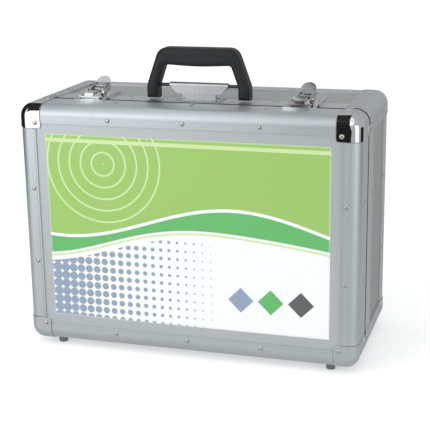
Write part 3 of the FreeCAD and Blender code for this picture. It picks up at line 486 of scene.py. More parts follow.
@dataclass(frozen=True)
class PrintedSheet:
    """White laminated sheet printed with waves, ripples, dots and diamonds of plain colour."""

    name: str
    middle_x: float
    middle_z: float
    half_width: float
    half_height: float
    paper: Colour = (0.85, 0.86, 0.855)
    lime: Colour = (0.315, 0.53, 0.125)
    pale: Colour = (0.58, 0.73, 0.36)
    green: Colour = (0.12, 0.46, 0.135)
    slate: Colour = (0.27, 0.34, 0.45)
    grey: Colour = (0.66, 0.67, 0.66)
    charcoal: Colour = (0.10, 0.11, 0.11)
    roughness: float = 0.34
    coat: float = 0.3
    coat_roughness: float = 0.22
    blur: float = 0.25 * MM
    wave_level: float = 10 * MM
    wave_rise: float = 17 * MM
    wave_length: float = 52 * MM
    wave_start: float = 0.7
    ribbon_gap: float = 3 * MM
    ribbon_half: float = 7 * MM
    ribbon_swell: float = 3.5 * MM
    swell_length: float = 38 * MM
    line_gap: float = 2.2 * MM
    line_width: float = 1.8 * MM
    clear_gap: float = 8 * MM
    stripe_inset: float = 4 * MM
    stripe_width: float = 3.5 * MM
    tile_start: float = 52 * MM
    tile_pitch: float = 28 * MM
    tile_drop: float = 58 * MM
    tile_half: float = 12 * MM
    ring_side: float = 78 * MM
    ring_rise: float = 62 * MM
    ring_pitch: float = 11 * MM
    ring_half: float = 0.8 * MM
    ring_reach: float = 60 * MM
    dot_pitch: float = 8 * MM
    dot_least: float = 0.6 * MM
    dot_growth: float = 0.026
    dot_edge: float = 20 * MM
    worn_width: float = 1.2 * MM
    worn_fade: float = 0.8 * MM
    worn: float = 500.0
    fibre: float = 900.0
    sag: float = 14.0
    sag_depth: float = 0.4 * MM

    def material(self) -> Material:
        """Build the material.

        Returns:
            The material.
        """
        shader = Shader(self.name, {"Coat Weight": self.coat, "Coat Roughness": self.coat_roughness})
        x, _, z = shader.axes()
        across = x - self.middle_x
        up = z - self.middle_z
        wave = self.wave_level + self.wave_rise * (across / self.wave_length + self.wave_start).sine()
        field = up.step(wave, self.blur)
        below = wave - up
        swell = self.ribbon_half + self.ribbon_swell * (across / self.swell_length).sine()
        foot = self.ribbon_gap + 2 * swell
        line = foot + self.line_gap
        stripe_end = self.stripe_inset + self.stripe_width
        clear = below.step(foot + self.clear_gap, self.blur)
        layers = [
            (field, self.lime),
            (self.between(below, self.ribbon_gap, foot), self.green),
            (self.between(below, line, line + self.line_width), self.pale),
            (self.ripples(across, up) * field, self.pale),
            (self.between(self.half_height - up, self.stripe_inset, stripe_end), self.pale),
            (self.dots(across, up) * clear, self.slate),
        ]
        for index, tint in enumerate((self.slate, self.green, self.charcoal)):
            side = across - (self.tile_start + index * self.tile_pitch)
            shape = side.size() + (up + self.tile_drop).size()
            layers.append(((1 - shape.step(self.tile_half, self.blur)) * clear, tint))
        edge = (across.size() - self.half_width).above(up.size() - self.half_height)
        rubbed = edge.step(-self.worn_width, self.worn_fade) * shader.noise(self.worn, 3.0)
        layers.append((rubbed, self.grey))
        colour = self.paper
        for mask, tint in layers:
            colour = shader.mix(mask, colour, tint)
        fibre = shader.noise(self.fibre, 3.0)
        relief = shader.noise(self.sag) + 0.04 * fibre
        return shader.finish(colour, self.roughness + 0.1 * fibre, relief, self.sag_depth)

    def between(self, value: Field, low: Number, high: Number) -> Field:
        """Mask that is 1 between two edges."""
        return value.step(low, self.blur) - value.step(high, self.blur)

    def ripples(self, across: Field, up: Field) -> Field:
        """Rings around a point near the sheet's upper left corner.

        Args:
            across: Place across the sheet from its middle.
            up: Place above its middle.

        Returns:
            Mask that is 1 on the rings.
        """
        side = across + self.ring_side
        rise = up - self.ring_rise
        reach = (side * side + rise * rise).root()
        ring = 1 - reach.offset(self.ring_pitch).size().step(self.ring_half, self.blur)
        return ring * (1 - reach.step(self.ring_reach, self.blur))

    def dots(self, across: Field, up: Field) -> Field:
        """Grid of dots that grow towards the sheet's left edge.

        Args:
            across: Place across the sheet from its middle.
            up: Place above its middle.

        Returns:
            Mask that is 1 on the dots.
        """
        side = across.offset(self.dot_pitch)
        rise = up.offset(self.dot_pitch)
        radius = (self.dot_least - self.dot_growth * (across - self.dot_edge)).above(0.0)
        return 1 - (side * side + rise * rise).root().step(radius, self.blur)


class RaisedHeads(NodeGraph):
    """Geometry Nodes tree that sets a raised round or long head on each point of a mesh."""

    OUTWARD = "outward"
    ALONG = "along"
    COLLAR_BLUR = 0.02

    def __init__(self, name: str, sizes: Triple, collar: float, segments: int, rings: int) -> None:
        """Build the tree.

        Args:
            name: The tree's name.
            sizes: Half of a head along its length, half of it across, and its rise.
            collar: Share of the rise that stands straight before the head rounds over.
            segments: Faces round a head.
            rings: Faces from its foot to its crown and back.
        """
        super().__init__(bpy.data.node_groups.new(name, "GeometryNodeTree"))
        half_length, half_width, rise = sizes
        self.values = {
            "Half length": half_length,
            "Half width": half_width,
            "Rise": rise,
            "Collar": collar,
            "Segments": segments,
            "Rings": rings,
        }
        self.identifiers = {}
        face = self.tree.interface
        face.new_socket("Points", in_out="INPUT", socket_type="NodeSocketGeometry")
        for label, value in self.values.items():
            kind = "NodeSocketInt" if isinstance(value, int) else "NodeSocketFloat"
            self.identifiers[label] = face.new_socket(label, in_out="INPUT", socket_type=kind).identifier
        self.identifiers["Finish"] = face.new_socket(
            "Finish", in_out="INPUT", socket_type="NodeSocketMaterial").identifier
        face.new_socket("Heads", in_out="OUTPUT", socket_type="NodeSocketGeometry")
        self.link_nodes()

    def link_nodes(self) -> None:
        """Add the nodes from the points to the finished heads."""
        entry = self.node("NodeGroupInput").outputs
        ball = self.node("GeometryNodeMeshUVSphere", {
            "Segments": entry["Segments"],
            "Rings": entry["Rings"],
            "Radius": 1.0,
        })
        x, y, z = self.split(self.node("GeometryNodeInputPosition").outputs[0])
        collar = Field(self, entry["Collar"])
        upper = collar * z.step(0.0, self.COLLAR_BLUR) + (1 - collar) * z.above(0.0)
        shape = self.node("ShaderNodeCombineXYZ", {
            0: x * Field(self, entry["Half length"]),
            1: y * Field(self, entry["Half width"]),
            2: upper * Field(self, entry["Rise"]),
        })
        head = self.node("GeometryNodeSetPosition", {
            "Geometry": ball.outputs[0],
            "Position": shape.outputs[0],
        })
        turn = self.node("FunctionNodeAxesToRotation", {
            "Primary Axis": self.vector_attribute(self.OUTWARD),
            "Secondary Axis": self.vector_attribute(self.ALONG),
        }, {"primary_axis": "Z", "secondary_axis": "X"})
        spread = self.node("GeometryNodeInstanceOnPoints", {
            "Points": entry["Points"],
            "Instance": head.outputs[0],
            "Rotation": turn.outputs[0],
        })
        real = self.node("GeometryNodeRealizeInstances", {"Geometry": spread.outputs[0]})
        smooth = self.node("GeometryNodeSetShadeSmooth", {"Geometry": real.outputs[0]})
        dressed = self.node("GeometryNodeSetMaterial", {
            "Geometry": smooth.outputs[0],
            "Material": entry["Finish"],
        })
        self.node("NodeGroupOutput", {0: dressed.outputs[0]})

    def vector_attribute(self, name: str) -> NodeSocket:
        """Output that reads a vector attribute of the points."""
        kind = {"data_type": "FLOAT_VECTOR"}
        return self.node("GeometryNodeInputNamedAttribute", {0: name}, kind).outputs[0]

    def pieces(self, name: str, places: Sequence[Place], finish: Material) -> Object:
        """Run the tree on a set of places.

        Args:
            name: The piece's name.
            places: Foot, outward direction and length direction of each head.
            finish: The heads' material.

        Returns:
            One plain mesh object with every head.
        """
        mesh = bpy.data.meshes.new(name + "_points")
        mesh.from_pydata([place for place, _, _ in places], [], [])
        for label, column in ((self.OUTWARD, 1), (self.ALONG, 2)):
            values = mesh.attributes.new(label, "FLOAT_VECTOR", "POINT")
            values.data.foreach_set("vector", [part for row in places for part in row[column]])
        points = linked(name + "_points", mesh)
        modifier = points.modifiers.new("heads", "NODES")
        modifier.node_group = self.tree
        for label, value in self.values.items():
            modifier[self.identifiers[label]] = value
        modifier[self.identifiers["Finish"]] = finish
        heads = linked(name, plain_mesh(points, name))
        bpy.data.objects.remove(points)
        return heads


def linked(name: str, data: ID) -> Object:
    """Put a mesh, a light or a camera in the scene.

    Args:
        name: The object's name.
        data: The mesh, light or camera.

    Returns:
        The new object.
    """
    made = bpy.data.objects.new(name, data)
    bpy.context.scene.collection.objects.link(made)
    return made


def plain_mesh(source: Object, name: str) -> Mesh:
    """Take the mesh that an object's modifiers give.

    Args:
        source: The object.
        name: The mesh's name.

    Returns:
        A plain mesh with no modifier left on it.
    """
    bpy.context.view_layer.update()
    shown = source.evaluated_get(bpy.context.evaluated_depsgraph_get())
    mesh = bpy.data.meshes.new_from_object(shown)
    mesh.name = name
    return mesh


def merged_copy(node: str) -> BMesh:
    """Copy a solid's mesh and merge its doubled points.

    Args:
        node: The solid.

    Returns:
        The copy.
    """
    copy = bmesh.new()
    copy.from_mesh(frame["nodes"][node].data)
    bmesh.ops.remove_doubles(copy, verts=copy.verts, dist=MERGE_REACH)
    return copy


def meshed(name: str, shape: BMesh) -> Mesh:
    """Turn a worked shape into a mesh.

    Args:
        name: The mesh's name.
        shape: The shape, which is freed.

    Returns:
        The mesh.
    """
    mesh = bpy.data.meshes.new(name)
    shape.to_mesh(mesh)
    shape.free()
    return mesh


def skinned(shape: BMesh, rings: Sequence[Sequence[BMVert]]) -> None:
    """Close a skin over rings of as many points each.

    Args:
        shape: The shape that holds the points.
        rings: The rings from one end to the other.
    """
    for first, second in zip(rings, rings[1:]):
        for index, vertex in enumerate(first):
            shape.faces.new((first[index - 1], vertex, second[index], second[index - 1]))
    shape.faces.new(rings[0])
    shape.faces.new(rings[-1])


def shaded(mesh: Mesh, angle: float) -> None:
    """Shade a mesh smooth, with edges sharper than an angle in degrees left sharp."""
    mesh.polygons.foreach_set("use_smooth", [True] * len(mesh.polygons))
    mesh.set_sharp_from_angle(angle=math.radians(angle))


def body_of(node: str) -> str:
    """Body that a solid belongs to."""
    return frame["nodes"][node]["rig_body"]


def slot_of(node: str) -> str:
    """Material slot that the record gives a solid."""
    return next(row["material_slot"] for row in frame["record"]["subparts"] if row["node"] == node)


def carried(piece: Object, finish: Material, *nodes: str) -> Object:
    """Let a piece stand for solids of one body.

    Args:
        piece: The finished piece.
        finish: Its material.
        nodes: The solids it stands for.

    Returns:
        The piece.
    """
    piece.data.materials.clear()
    piece.data.materials.append(finish)
    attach(piece, body_of(nodes[0]))
    slot_of(nodes[0])
    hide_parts(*nodes)
    log.info("%s stands for %s", piece.name, ", ".join(nodes))
    return piece


def dressed(finish: Material, *nodes: str) -> None:
    """Give solids that stay as they are their finish.

    Args:
        finish: The material.
        nodes: The solids.
    """
    for node in nodes:
        for slot in frame["nodes"][node].material_slots:
            slot.material = finish
        log.info("%s takes %s", node, finish.name)


def softened(finish: Material, width: float, *nodes: str) -> None:
    """Let pieces with broken edges stand for solids.

    Args:
        finish: The pieces' material.
        width: Width of the broken edges.
        nodes: The solids.
    """
    for node in nodes:
        copy = merged_copy(node)
        flat = math.radians(FLAT_ANGLE)
        bmesh.ops.dissolve_limit(copy, angle_limit=flat, verts=copy.verts, edges=copy.edges)
        mesh = meshed(node + "_blank", copy)
        blank = linked(node + "_blank", mesh)
        edge = blank.modifiers.new("edge", "BEVEL")
        edge.width = width
        edge.segments = EDGE_STEPS
        edge.limit_method = "ANGLE"
        edge.angle_limit = math.radians(SHARP_ANGLE)
        flats = blank.modifiers.new("flats", "WEIGHTED_NORMAL")
        flats.weight = FLAT_WEIGHT
        flats.keep_sharp = True
        shaded(mesh, SMOOTH_ANGLE)
        piece = linked(node + "_soft", plain_mesh(blank, node + "_soft"))
        bpy.data.objects.remove(blank)
        carried(piece, finish, node)


@dataclass
class Shell:
    """Boards, drawn lengths, corners and caps of both halves."""

    edge_break: float = 0.22 * MM
    half_parting: float = 0.3 * MM

    def build(self) -> None:
        """Dress every piece of the shell."""
        board = FacedBoard("silver_board").material()
        dressed(board, "lid_face_panel", "base_back_panel")
        # Darker copy of the same board for the walls: painted shade
        wall = FacedBoard("silver_wall_board", (0.53, 0.55, 0.55), (0.44, 0.455, 0.455)).material()
        dressed(wall, "lid_wall_boards", "base_wall_top", "base_wall_bottom")
        # Darker copy still for the base's left and right walls: painted shade on the sides
        shaded_side_board = FacedBoard("silver_side_board", (0.41, 0.425, 0.415), (0.335, 0.347, 0.338)).material()
        dressed(shaded_side_board, "base_wall_left", "base_wall_right")
        line = self.parting()
        for run, sides in ((Run.ACROSS, ("top", "bottom")), (Run.UP, HANDS)):
            drawn = SatinMetal(f"aluminium_drawn_{run.name.lower()}", run, parting=line).material()
            for side in sides:
                for length in ("lid_edge", "lid_rim", "base_edge", "base_rim"):
                    softened(drawn, self.edge_break, f"{length}_{side}")
        post = SatinMetal(
            "aluminium_drawn_deep", Run.DEEP, light=(0.75, 0.805, 0.825), dark=(0.62, 0.67, 0.69),
            roughness=0.48, parting=line).material()
        softened(post, self.edge_break, "lid_corner_guards", "base_corner_posts")
        pressed = SatinMetal("aluminium_pressed", roughness=0.48, lines=900.0).material()
        softened(pressed, self.edge_break, "lid_plain_caps", "base_corner_caps")
        chrome = SatinMetal(
            "chrome", light=(0.80, 0.80, 0.81), dark=(0.74, 0.74, 0.75),
            roughness=0.07, spread=0.05, lines=700.0, line_depth=0.004 * MM).material()
        softened(chrome, self.edge_break, "lid_chrome_caps")

    def parting(self) -> PartingLine:
        """Find where lid and base meet, from the rims of the base.

        Returns:
            The line.
        """
        low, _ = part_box("base_rim_bottom")
        _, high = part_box("base_rim_top")
        _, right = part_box("base_rim_right")
        middle_z = (low.z + high.z) / 2
        half_height = (high.z - low.z) / 2
        return PartingLine(low.y - self.half_parting, middle_z, right.x, half_height)


@dataclass
class Rivets:
    """Domed rivets of both halves, set where the solids have theirs."""

    radius: float = 2.3 * MM
    rise: float = 1.0 * MM
    collar: float = 0.22
    segments: int = 12
    rings: int = 6
    rim_share: float = 0.95

    def build(self) -> None:
        """Set the rivets with one tree, one piece for each half."""
        sizes = (self.radius, self.radius, self.rise)
        tree = RaisedHeads("rivet_heads", sizes, self.collar, self.segments, self.rings)
        finish = SatinMetal(
            "rivet_steel", light=(0.80, 0.76, 0.70), dark=(0.60, 0.56, 0.51),
            roughness=0.22, spread=0.12, lines=1600.0).material()
        for node in ("lid_rivets", "base_rivets"):
            carried(tree.pieces(node + "_set", self.places(node), finish), finish, node)

    def places(self, node: str) -> list[Place]:
        """Find the rivets of a solid.

        Args:
            node: The solid that holds the rivets.

        Returns:
            Foot, outward direction and a direction across it for each rivet.
        """
        copy = merged_copy(node)
        found = []
        left = set(copy.verts)
        while left:
            island = self.island(left.pop())
            left -= island
            found.append(self.place([vertex.co.copy() for vertex in island]))
        copy.free()
        return sorted(found, key=lambda row: tuple(row[0]))

    @staticmethod
    def island(first: BMVert) -> set[BMVert]:
        """Gather the vertices joined to one vertex by edges.

        Args:
            first: The vertex to start from.

        Returns:
            All of them, the first among them.
        """
        seen = {first}
        front = [first]
        while front:
            near = [edge.other_vert(vertex) for vertex in front for edge in vertex.link_edges]
            front = [vertex for vertex in set(near) if vertex not in seen]
            seen.update(front)
        return seen

    def place(self, points: Sequence[Vector]) -> Place:
        """Find how one rivet sits.

        Args:
            points: The rivet's points.

        Returns:
            Foot of its head, outward direction and a direction across it.
        """
        low, high = (Vector([end(row) for row in zip(*points)]) for end in (min, max))
        middle = (low + high) / 2
        size = high - low
        axis = max(range(3), key=lambda index: size[index])
        outward = Vector((0.0, 0.0, 0.0))
        outward[axis] = 1.0
        reach = [(point - middle).cross(outward).length for point in points]
        widest = self.rim_share * max(reach)
        rim = [point for point, radius in zip(points, reach) if radius > widest]
        level = sum(point[axis] for point in rim) / len(rim)
        foot = middle.copy()
        foot[axis] = level
        if level < middle[axis]:
            outward.negate()
        return foot, outward, outward.orthogonal().normalized()


@dataclass
class Label:
    """Printed sheet on the lid's panel."""

    node: str = "label_sheet"

    def build(self) -> None:
        """Print the sheet in its own middle."""
        low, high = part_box(self.node)
        middle = (low + high) / 2
        half = (high - low) / 2
        design = PrintedSheet("printed_sheet", middle.x, middle.z, half.x, half.z)
        dressed(design.material(), self.node)


@dataclass
class Handle:
    """Grip on its rod, with the bracket that holds the rod."""

    edge_break: float = 0.3 * MM

    def build(self) -> None:
        """Dress the grip, rod and bracket."""
        grip = DullSolid(
            "moulded_black", light=(0.026, 0.0275, 0.030), dark=(0.013, 0.014, 0.0155),
            roughness=0.46, grain=1300.0, depth=0.06 * MM, specular=0.3)
        dressed(grip.material(), "handle_grip")
        rod = DullSolid(
            "black_rod", light=(0.045, 0.045, 0.047), dark=(0.018, 0.018, 0.019),
            roughness=0.34, grain=700.0, depth=0.02 * MM, coat=0.2)
        dressed(rod.material(), "handle_rod")
        zinc = SatinMetal(
            "bracket_zinc", light=(0.64, 0.65, 0.66), dark=(0.48, 0.49, 0.50),
            roughness=0.34, spread=0.12, lines=1200.0, line_depth=0.01 * MM)
        softened(zinc.material(), self.edge_break, "handle_bracket")


def plated_steel(name: str, shine: float = 1.0) -> Material:
    """Bright plated steel of the fittings.

    Args:
        name: The material's name.
        shine: How much light it throws back, as a share of the brightest plating.

    Returns:
        The material.
    """
    return SatinMetal(
        name,
        light=(0.80 * shine, 0.81 * shine, 0.82 * shine),
        dark=(0.62 * shine, 0.63 * shine, 0.64 * shine),
        roughness=0.15, spread=0.1, lines=1200.0, line_depth=0.003 * MM).material()


@dataclass
class Latches:
    """Plates, levers, claws, plugs, pins and keepers of the two latches."""

    edge_break: float = 0.3 * MM
    # Share of the plating's brightness kept on the levers and claws: painted shade on their reflections
    lever_shade_share: float = 0.8

    def build(self) -> None:
        """Dress both latches."""
        steel = plated_steel("latch_steel")
        # Darker copy of the same plating for the levers and claws: painted shade
        lever = plated_steel("lever_steel", self.lever_shade_share)
        for hand in HANDS:
            softened(steel, self.edge_break, f"latch_plate_{hand}")
            softened(lever, self.edge_break, f"latch_lever_{hand}", f"latch_claw_{hand}")
            dressed(steel, f"lock_plug_{hand}")
        softened(steel, self.edge_break, "latch_keepers")
        dressed(steel, "latch_pins")


@dataclass
class Hinges:
    """Hinges under the case and the stay that holds the lid."""

    edge_break: float = 0.2 * MM

    def build(self) -> None:
        """Dress the leaves, pins and stay."""
        steel = plated_steel("hinge_steel")
        softened(steel, self.edge_break, "hinge_base_leaves", "hinge_lid_leaves", "stay_arm")
        dressed(steel, "hinge_pins", "stay_pivot", "stay_stud")


@dataclass
class Feet:
    """Rubber feet on the hinge side and on the back."""

    edge_break: float = 0.4 * MM

    def build(self) -> None:
        """Dress the feet."""
        rubber = DullSolid(
            "foot_rubber", light=(0.17, 0.20, 0.22), dark=(0.11, 0.13, 0.145), roughness=0.6, grain=800.0)
        softened(rubber.material(), self.edge_break, "base_feet", "lid_feet", "back_feet")


@dataclass
class Interior:
    """Soft linings, dividers and the tool pallet with its sewn loops."""

    thickness: float = 2.0 * MM
    outer_round: float = 7.0 * MM
    least_round: float = 0.5 * MM
    lip: float = 0.8 * MM
    joint: float = 0.8 * MM
    bare_rings: int = 4
    corner_steps: int = 8
    side_steps: int = 30
    ring_pitch: float = 6.0 * MM
    ripple: float = 0.35 * MM
    ripple_scale: float = 28.0
    soft_share: float = 0.9
    fold_angle: float = 60.0
    loop_count: int = 8
    loop_steps: int = 24
    stitched: float = 5.0 * MM
    band_width: float = 24.0 * MM
    band_thick: float = 1.2 * MM
    stitch_pitch: float = 3.4 * MM
    stitch_sizes: Triple = (1.3 * MM, 0.35 * MM, 0.3 * MM)
    stitch_collar: float = 0.1
    stitch_segments: int = 8
    stitch_rings: int = 4
    seam_shares: tuple[float, float] = (-0.25, 0.25)
    board_edge: float = 0.6 * MM

    def build(self) -> None:
        """Build the linings and loops and dress the boards."""
        flock = FlockedCloth("flocked_lining").material()
        self.lining("base_lining", flock, -1.0)
        self.lining("lid_lining", flock, 1.0)
        faced = DullSolid(
            "divider_board", light=(0.17, 0.176, 0.185), dark=(0.115, 0.12, 0.128),
            roughness=0.72, grain=900.0, depth=0.08 * MM)
        softened(faced.material(), self.board_edge, "divider_long", "dividers_cross", "tool_pallet")
        self.loops()

    def outline(self, half_x: float, half_z: float, inset: float) -> list[Vector]:
        """Closed rounded outline about the middle.

        Args:
            half_x: Half of the outer width.
            half_z: Half of the outer height.
            inset: Distance of the outline inside the outer one.

        Returns:
            The outline's points, as many for every inset.
        """
        radius = max(self.outer_round - inset, self.least_round)
        reach_x = half_x - inset - radius
        reach_z = half_z - inset - radius
        arcs = []
        for corner, (x, z) in enumerate(((1, 1), (-1, 1), (-1, -1), (1, -1))):
            middle = Vector((x * reach_x, z * reach_z))
            turns = [corner + step / self.corner_steps for step in range(self.corner_steps + 1)]
            angles = [math.pi / 2 * turn for turn in turns]
            arcs.append([middle + radius * Vector((math.cos(angle), math.sin(angle))) for angle in angles])
        shares = [step / self.side_steps for step in range(1, self.side_steps)]
        points = []
        for arc, following in zip(arcs, arcs[1:] + arcs[:1]):
            points += arc + [arc[-1].lerp(following[0], share) for share in shares]
        return points

    def profile(self, depth: float, widest: float) -> list[tuple[float, float]]:
        """Section of a lining, from the outer edge of its floor round its lip to the middle of its floor.

        Args:
            depth: Distance from the floor's outer face to the lip.
            widest: Inset of the last ring on the floor.

        Returns:
            Pairs of inset and height above the floor's outer face.
        """
        wall = self.thickness
        joint = self.joint
        brow = depth - self.lip
        nip = self.lip / 4
        rows = [(0.0, 0.0), (0.0, brow), (nip, depth - nip), (wall / 2, depth)]
        rows += [(wall - nip, depth - nip), (wall, brow)]
        root = wall + 2 * joint
        count = max(3, round(depth / self.ring_pitch))
        rows += [(wall, brow - (brow - root) * step / count) for step in range(1, count)]
        rows += [(wall, root), (wall - 0.6 * joint, wall + 0.4 * joint)]
        rows += [(wall, wall - joint), (wall + 0.8 * joint, wall - 0.3 * joint)]
        start = wall + 2.2 * joint
        rings = round((widest - wall) / self.ring_pitch)
        return rows + [(start + self.ring_pitch * step, wall) for step in range(rings)]

    def lining(self, node: str, finish: Material, mouth: float) -> None:
        """Build the foam tray that stands for a lining, pressed in a little where it shows.

        Args:
            node: The lining's solid.
            finish: Its material.
            mouth: Sign of Y from the tray's floor to its mouth.
        """
        low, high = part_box(node)
        half = (high - low) / 2
        middle = (low + high) / 2
        floor = low.y if mouth > 0 else high.y
        tray = bmesh.new()
        rings = []
        for inset, height in self.profile(high.y - low.y, half.z - self.bare_rings * self.ring_pitch):
            level = floor + mouth * height
            outline = self.outline(half.x, half.z, inset)
            ring = [Vector((middle.x + x, level, middle.z + z)) for x, z in outline]
            if inset > self.soft_share * self.thickness:
                for point in ring:
                    swell = 0.5 + 0.5 * noise.noise(point * self.ripple_scale)
                    point.y -= mouth * self.ripple * swell
            rings.append([tray.verts.new(point) for point in ring])
        skinned(tray, rings)
        bmesh.ops.recalc_face_normals(tray, faces=tray.faces)
        mesh = meshed(node + "_foam", tray)
        shaded(mesh, self.fold_angle)
        piece = carried(linked(node + "_foam", mesh), finish, node)

    def loops(self) -> None:
        """Build the two elastic bands and their stitches."""
        low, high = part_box("tool_loops")
        strips = bmesh.new()
        places = []
        for bottom in (low.z, high.z - self.band_width):
            self.strip(strips, low, high, bottom)
            places += self.stitches(low, high, bottom)
        bmesh.ops.recalc_face_normals(strips, faces=strips.faces)
        mesh = meshed("tool_loops_elastic", strips)
        shaded(mesh, SMOOTH_ANGLE)
        elastic = WovenElastic("loop_elastic").material()
        carried(linked("tool_loops_elastic", mesh), elastic, "tool_loops")
        thread = DullSolid(
            "loop_thread", light=(0.62, 0.62, 0.60), dark=(0.45, 0.45, 0.43), roughness=0.7, grain=2500.0)
        tree = RaisedHeads(
            "loop_stitches", self.stitch_sizes, self.stitch_collar, self.stitch_segments, self.stitch_rings)
        seams = tree.pieces("tool_loops_stitches", places, thread.material())
        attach(seams, body_of("tool_loops"))
        slot_of("tool_loops")
        log.info("%s sews the loops to the pallet", seams.name)

    def strip(self, strips: BMesh, low: Vector, high: Vector, bottom: float) -> None:
        """Add one elastic band.

        Args:
            strips: The mesh that holds the bands.
            low: Lowest corner of the loops' solid.
            high: Highest corner of it.
            bottom: Lower edge of the band.
        """
        pitch = (high.x - low.x) / self.loop_count
        rise = high.y - low.y - self.band_thick
        count = self.loop_count * self.loop_steps
        half = self.band_thick / 2
        top = bottom + self.band_width
        section = [(0.0, bottom + half), (0.0, top - half), (0.3 * half, top - 0.2 * half), (half, top)]
        section += [(1.7 * half, top - 0.2 * half), (2 * half, top - half), (2 * half, bottom + half)]
        section += [(1.7 * half, bottom + 0.2 * half), (half, bottom), (0.3 * half, bottom + 0.2 * half)]
        rows = []
        for index in range(count + 1):
            x = low.x + (high.x - low.x) * index / count
            level = low.y + rise * self.bulge((x - low.x) % pitch, pitch)
            rows.append([strips.verts.new((x, level + out, z)) for out, z in section])
        skinned(strips, rows)

    def bulge(self, place: float, pitch: float) -> float:
        """Share of a loop's rise at a place along it: 0 where it is sewn, 1 in the middle of its pitch."""
        share = min(1.0, 2 * abs(place - pitch / 2) / (pitch - self.stitched))
        return 0.5 + 0.5 * math.cos(math.pi * share)

    def stitches(self, low: Vector, high: Vector, bottom: float) -> list[Place]:
        """Places of the stitches that hold one band.

        Args:
            low: Lowest corner of the loops' solid.
            high: Highest corner of it.
            bottom: Lower edge of the band.

        Returns:
            Foot, outward direction and length direction of each stitch.
        """
        pitch = (high.x - low.x) / self.loop_count
        count = int((self.band_width - 2 * self.band_thick) / self.stitch_pitch)
        start = bottom + self.band_width / 2 - (count - 1) / 2 * self.stitch_pitch
        level = low.y + self.band_thick
        places = []
        for seam in range(self.loop_count + 1):
            middle = low.x + seam * pitch
            inside = min(max(middle, low.x + self.stitched / 2), high.x - self.stitched / 2)
            for side in self.seam_shares:
                x = inside + side * self.stitched
                for index in range(count):
                    foot = Vector((x, level, start + index * self.stitch_pitch))
                    places.append((foot, Vector((0.0, 1.0, 0.0)), Vector((0.0, 0.0, 1.0))))
        return places


@dataclass(frozen=True)
class Softbox:
    """Rectangular light: where it stands, its width and height, and its power in watts."""

    name: str
    place: Triple
    size: tuple[float, float]
    power: float


@dataclass(frozen=True)
class Card:
    """Black card between two corners that lie as far along one axis."""

    name: str
    low: Triple
    high: Triple


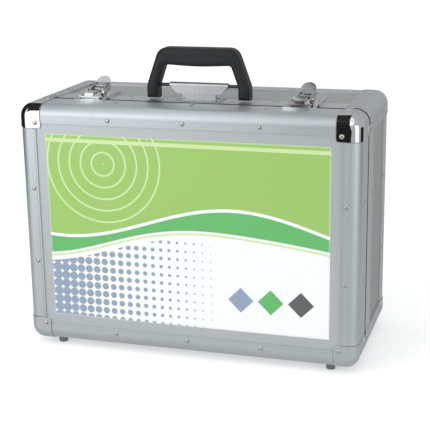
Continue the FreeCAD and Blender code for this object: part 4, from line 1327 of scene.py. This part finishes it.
@dataclass
class Studio:
    """Pale floor, soft lights, black cards and the camera."""

    eye: Triple = (0.3190, -1.0167, 0.4175)
    yaw: float = 17.15
    pitch: float = 15.61
    roll: float = -0.91
    lens: float = 95.36
    sensor: float = 36.0
    floor_size: float = 12.0
    floor_pale: Colour = (0.96, 0.96, 0.96)
    floor_roughness: float = 0.9
    floor_glow: float = 0.35
    glow_tint: Colour = (1.0, 1.0, 1.0)
    card_black: Colour = (0.01, 0.01, 0.01)
    target: Triple = (0.0, 0.0, 0.25)
    sun_strength: float = 0.85
    sun_angle: float = 100.0
    sun_way: Triple = (-0.30, -0.40, 0.87)
    room_pale: Colour = (0.50, 0.515, 0.53)
    room_dim: Colour = (0.48, 0.48, 0.48)
    pale_from: float = -0.1
    pale_rise: float = 0.4
    dim_from: float = 0.1
    dim_rise: float = 0.8
    softboxes: tuple[Softbox, ...] = (
        Softbox("left_softbox", (-0.66, -0.86, 0.40), (0.8, 0.8), 2.5),
        Softbox("front_softbox", (0.05, -1.25, 1.20), (1.5, 0.8), 1.75),
        Softbox("right_softbox", (0.83, -0.50, 0.30), (0.55, 0.7), 0.9),
    )
    cards: tuple[Card, ...] = (
        Card("front_card", (-0.04, -0.60, 0.03), (0.16, -0.60, 1.00)),
        Card("front_left_card", (-0.85, -0.60, 0.46), (-0.45, -0.60, 1.00)),
        Card("ceiling_card", (-0.07, -0.60, 1.00), (0.16, 1.00, 1.00)),
        Card("ceiling_left_card", (-0.80, -0.60, 1.00), (-0.48, 0.80, 1.00)),
        Card("left_card", (-0.80, -0.42, 0.00), (-0.80, 0.80, 1.00)),
        Card("right_card", (0.80, 0.00, 0.00), (0.80, 0.80, 0.25)),
    )

    def build(self) -> None:
        """Set the floor, room, lights, cards and camera."""
        self.floor()
        self.surround()
        self.sun()
        for box in self.softboxes:
            self.shine(box)
        for card in self.cards:
            self.hang(card)
        self.camera()
        bpy.context.scene.view_settings.view_transform = "Standard"

    @staticmethod
    def staged(name: str, corners: Sequence[Sequence[float]], finish: Material) -> Object:
        """Set up one flat rectangle that isn't part of the case.

        Args:
            name: Its name.
            corners: Its four corners in order.
            finish: Its material.

        Returns:
            The rectangle.
        """
        mesh = bpy.data.meshes.new(name)
        mesh.from_pydata(corners, [], [(0, 1, 2, 3)])
        mesh.materials.append(finish)
        piece = linked(name, mesh)
        return piece

    def floor(self) -> None:
        """Lay a pale floor that reflections don't show."""
        half = self.floor_size / 2
        corners = [(-half, -half, 0), (half, -half, 0), (half, half, 0), (-half, half, 0)]
        shader = Shader("pale_floor", {
            "Base Color": self.floor_pale,
            "Roughness": self.floor_roughness,
            "Emission Color": self.glow_tint,
            "Emission Strength": self.floor_glow,
        })
        self.staged("floor", corners, shader.material).visible_glossy = False

    def hang(self, card: Card) -> None:
        """Hang a black card near the case that only reflections show.

        Args:
            card: The card.
        """
        first, second = (axis for axis in range(3) if card.low[axis] != card.high[axis])
        aside, above = list(card.low), list(card.low)
        aside[first] = card.high[first]
        above[second] = card.high[second]
        corners = [card.low, aside, card.high, above]
        shader = Shader(card.name, {"Base Color": self.card_black, "Roughness": 1.0})
        piece = self.staged(card.name, corners, shader.material)
        piece.visible_camera = False
        piece.visible_diffuse = False
        piece.visible_shadow = False

    def surround(self) -> None:
        """Fill the room with soft light, a little darker behind the case and below."""
        world = bpy.data.worlds.new("room")
        world.use_nodes = True
        bpy.context.scene.world = world
        graph = NodeGraph(world.node_tree)
        _, depth, height = graph.split(graph.node("ShaderNodeTexCoord").outputs["Generated"])
        raised = height.step(self.pale_from, self.pale_rise)
        share = raised * (1 - depth.step(self.dim_from, self.dim_rise))
        shade = graph.mix(share, self.room_dim, self.room_pale)
        graph.feed(world.node_tree.nodes["Background"].inputs["Color"], shade)

    def sun(self) -> None:
        """Add a broad soft light from far away."""
        data = bpy.data.lights.new("broad_light", "SUN")
        data.energy = self.sun_strength
        data.angle = math.radians(self.sun_angle)
        light = linked("broad_light", data)
        light.rotation_euler = Vector(self.sun_way).to_track_quat("Z", "Y").to_euler()

    def shine(self, box: Softbox) -> None:
        """Turn a rectangular light to the case.

        Args:
            box: The light.
        """
        data = bpy.data.lights.new(box.name, "AREA")
        data.shape = "RECTANGLE"
        data.size, data.size_y = box.size
        data.energy = box.power
        light = linked(box.name, data)
        light.location = box.place
        way = Vector(box.place) - Vector(self.target)
        light.rotation_euler = way.to_track_quat("Z", "Y").to_euler()

    def camera(self) -> None:
        """Set the camera at the viewing angle of the picture."""
        yaw, pitch, roll = (math.radians(angle) for angle in (self.yaw, self.pitch, self.roll))
        data = bpy.data.cameras.new("camera")
        data.lens = self.lens
        data.sensor_fit = "HORIZONTAL"
        data.sensor_width = self.sensor
        made = linked("camera", data)
        heading = Matrix.Rotation(yaw, 4, "Z") @ Matrix.Rotation(math.pi / 2 - pitch, 4, "X")
        made.matrix_world = Matrix.Translation(self.eye) @ heading @ Matrix.Rotation(roll, 4, "Z")
        bpy.context.scene.camera = made


def main() -> None:
    """Build every part of the case in order, then the studio."""
    logging.basicConfig(level=logging.INFO, format="%(name)s: %(message)s")
    parts = (Shell(), Rivets(), Label(), Handle(), Latches(), Hinges(), Feet(), Interior(), Studio())
    for part in parts:
        part.build()
        log.info("%s done", type(part).__name__)


if __name__ == "__main__":
    main()
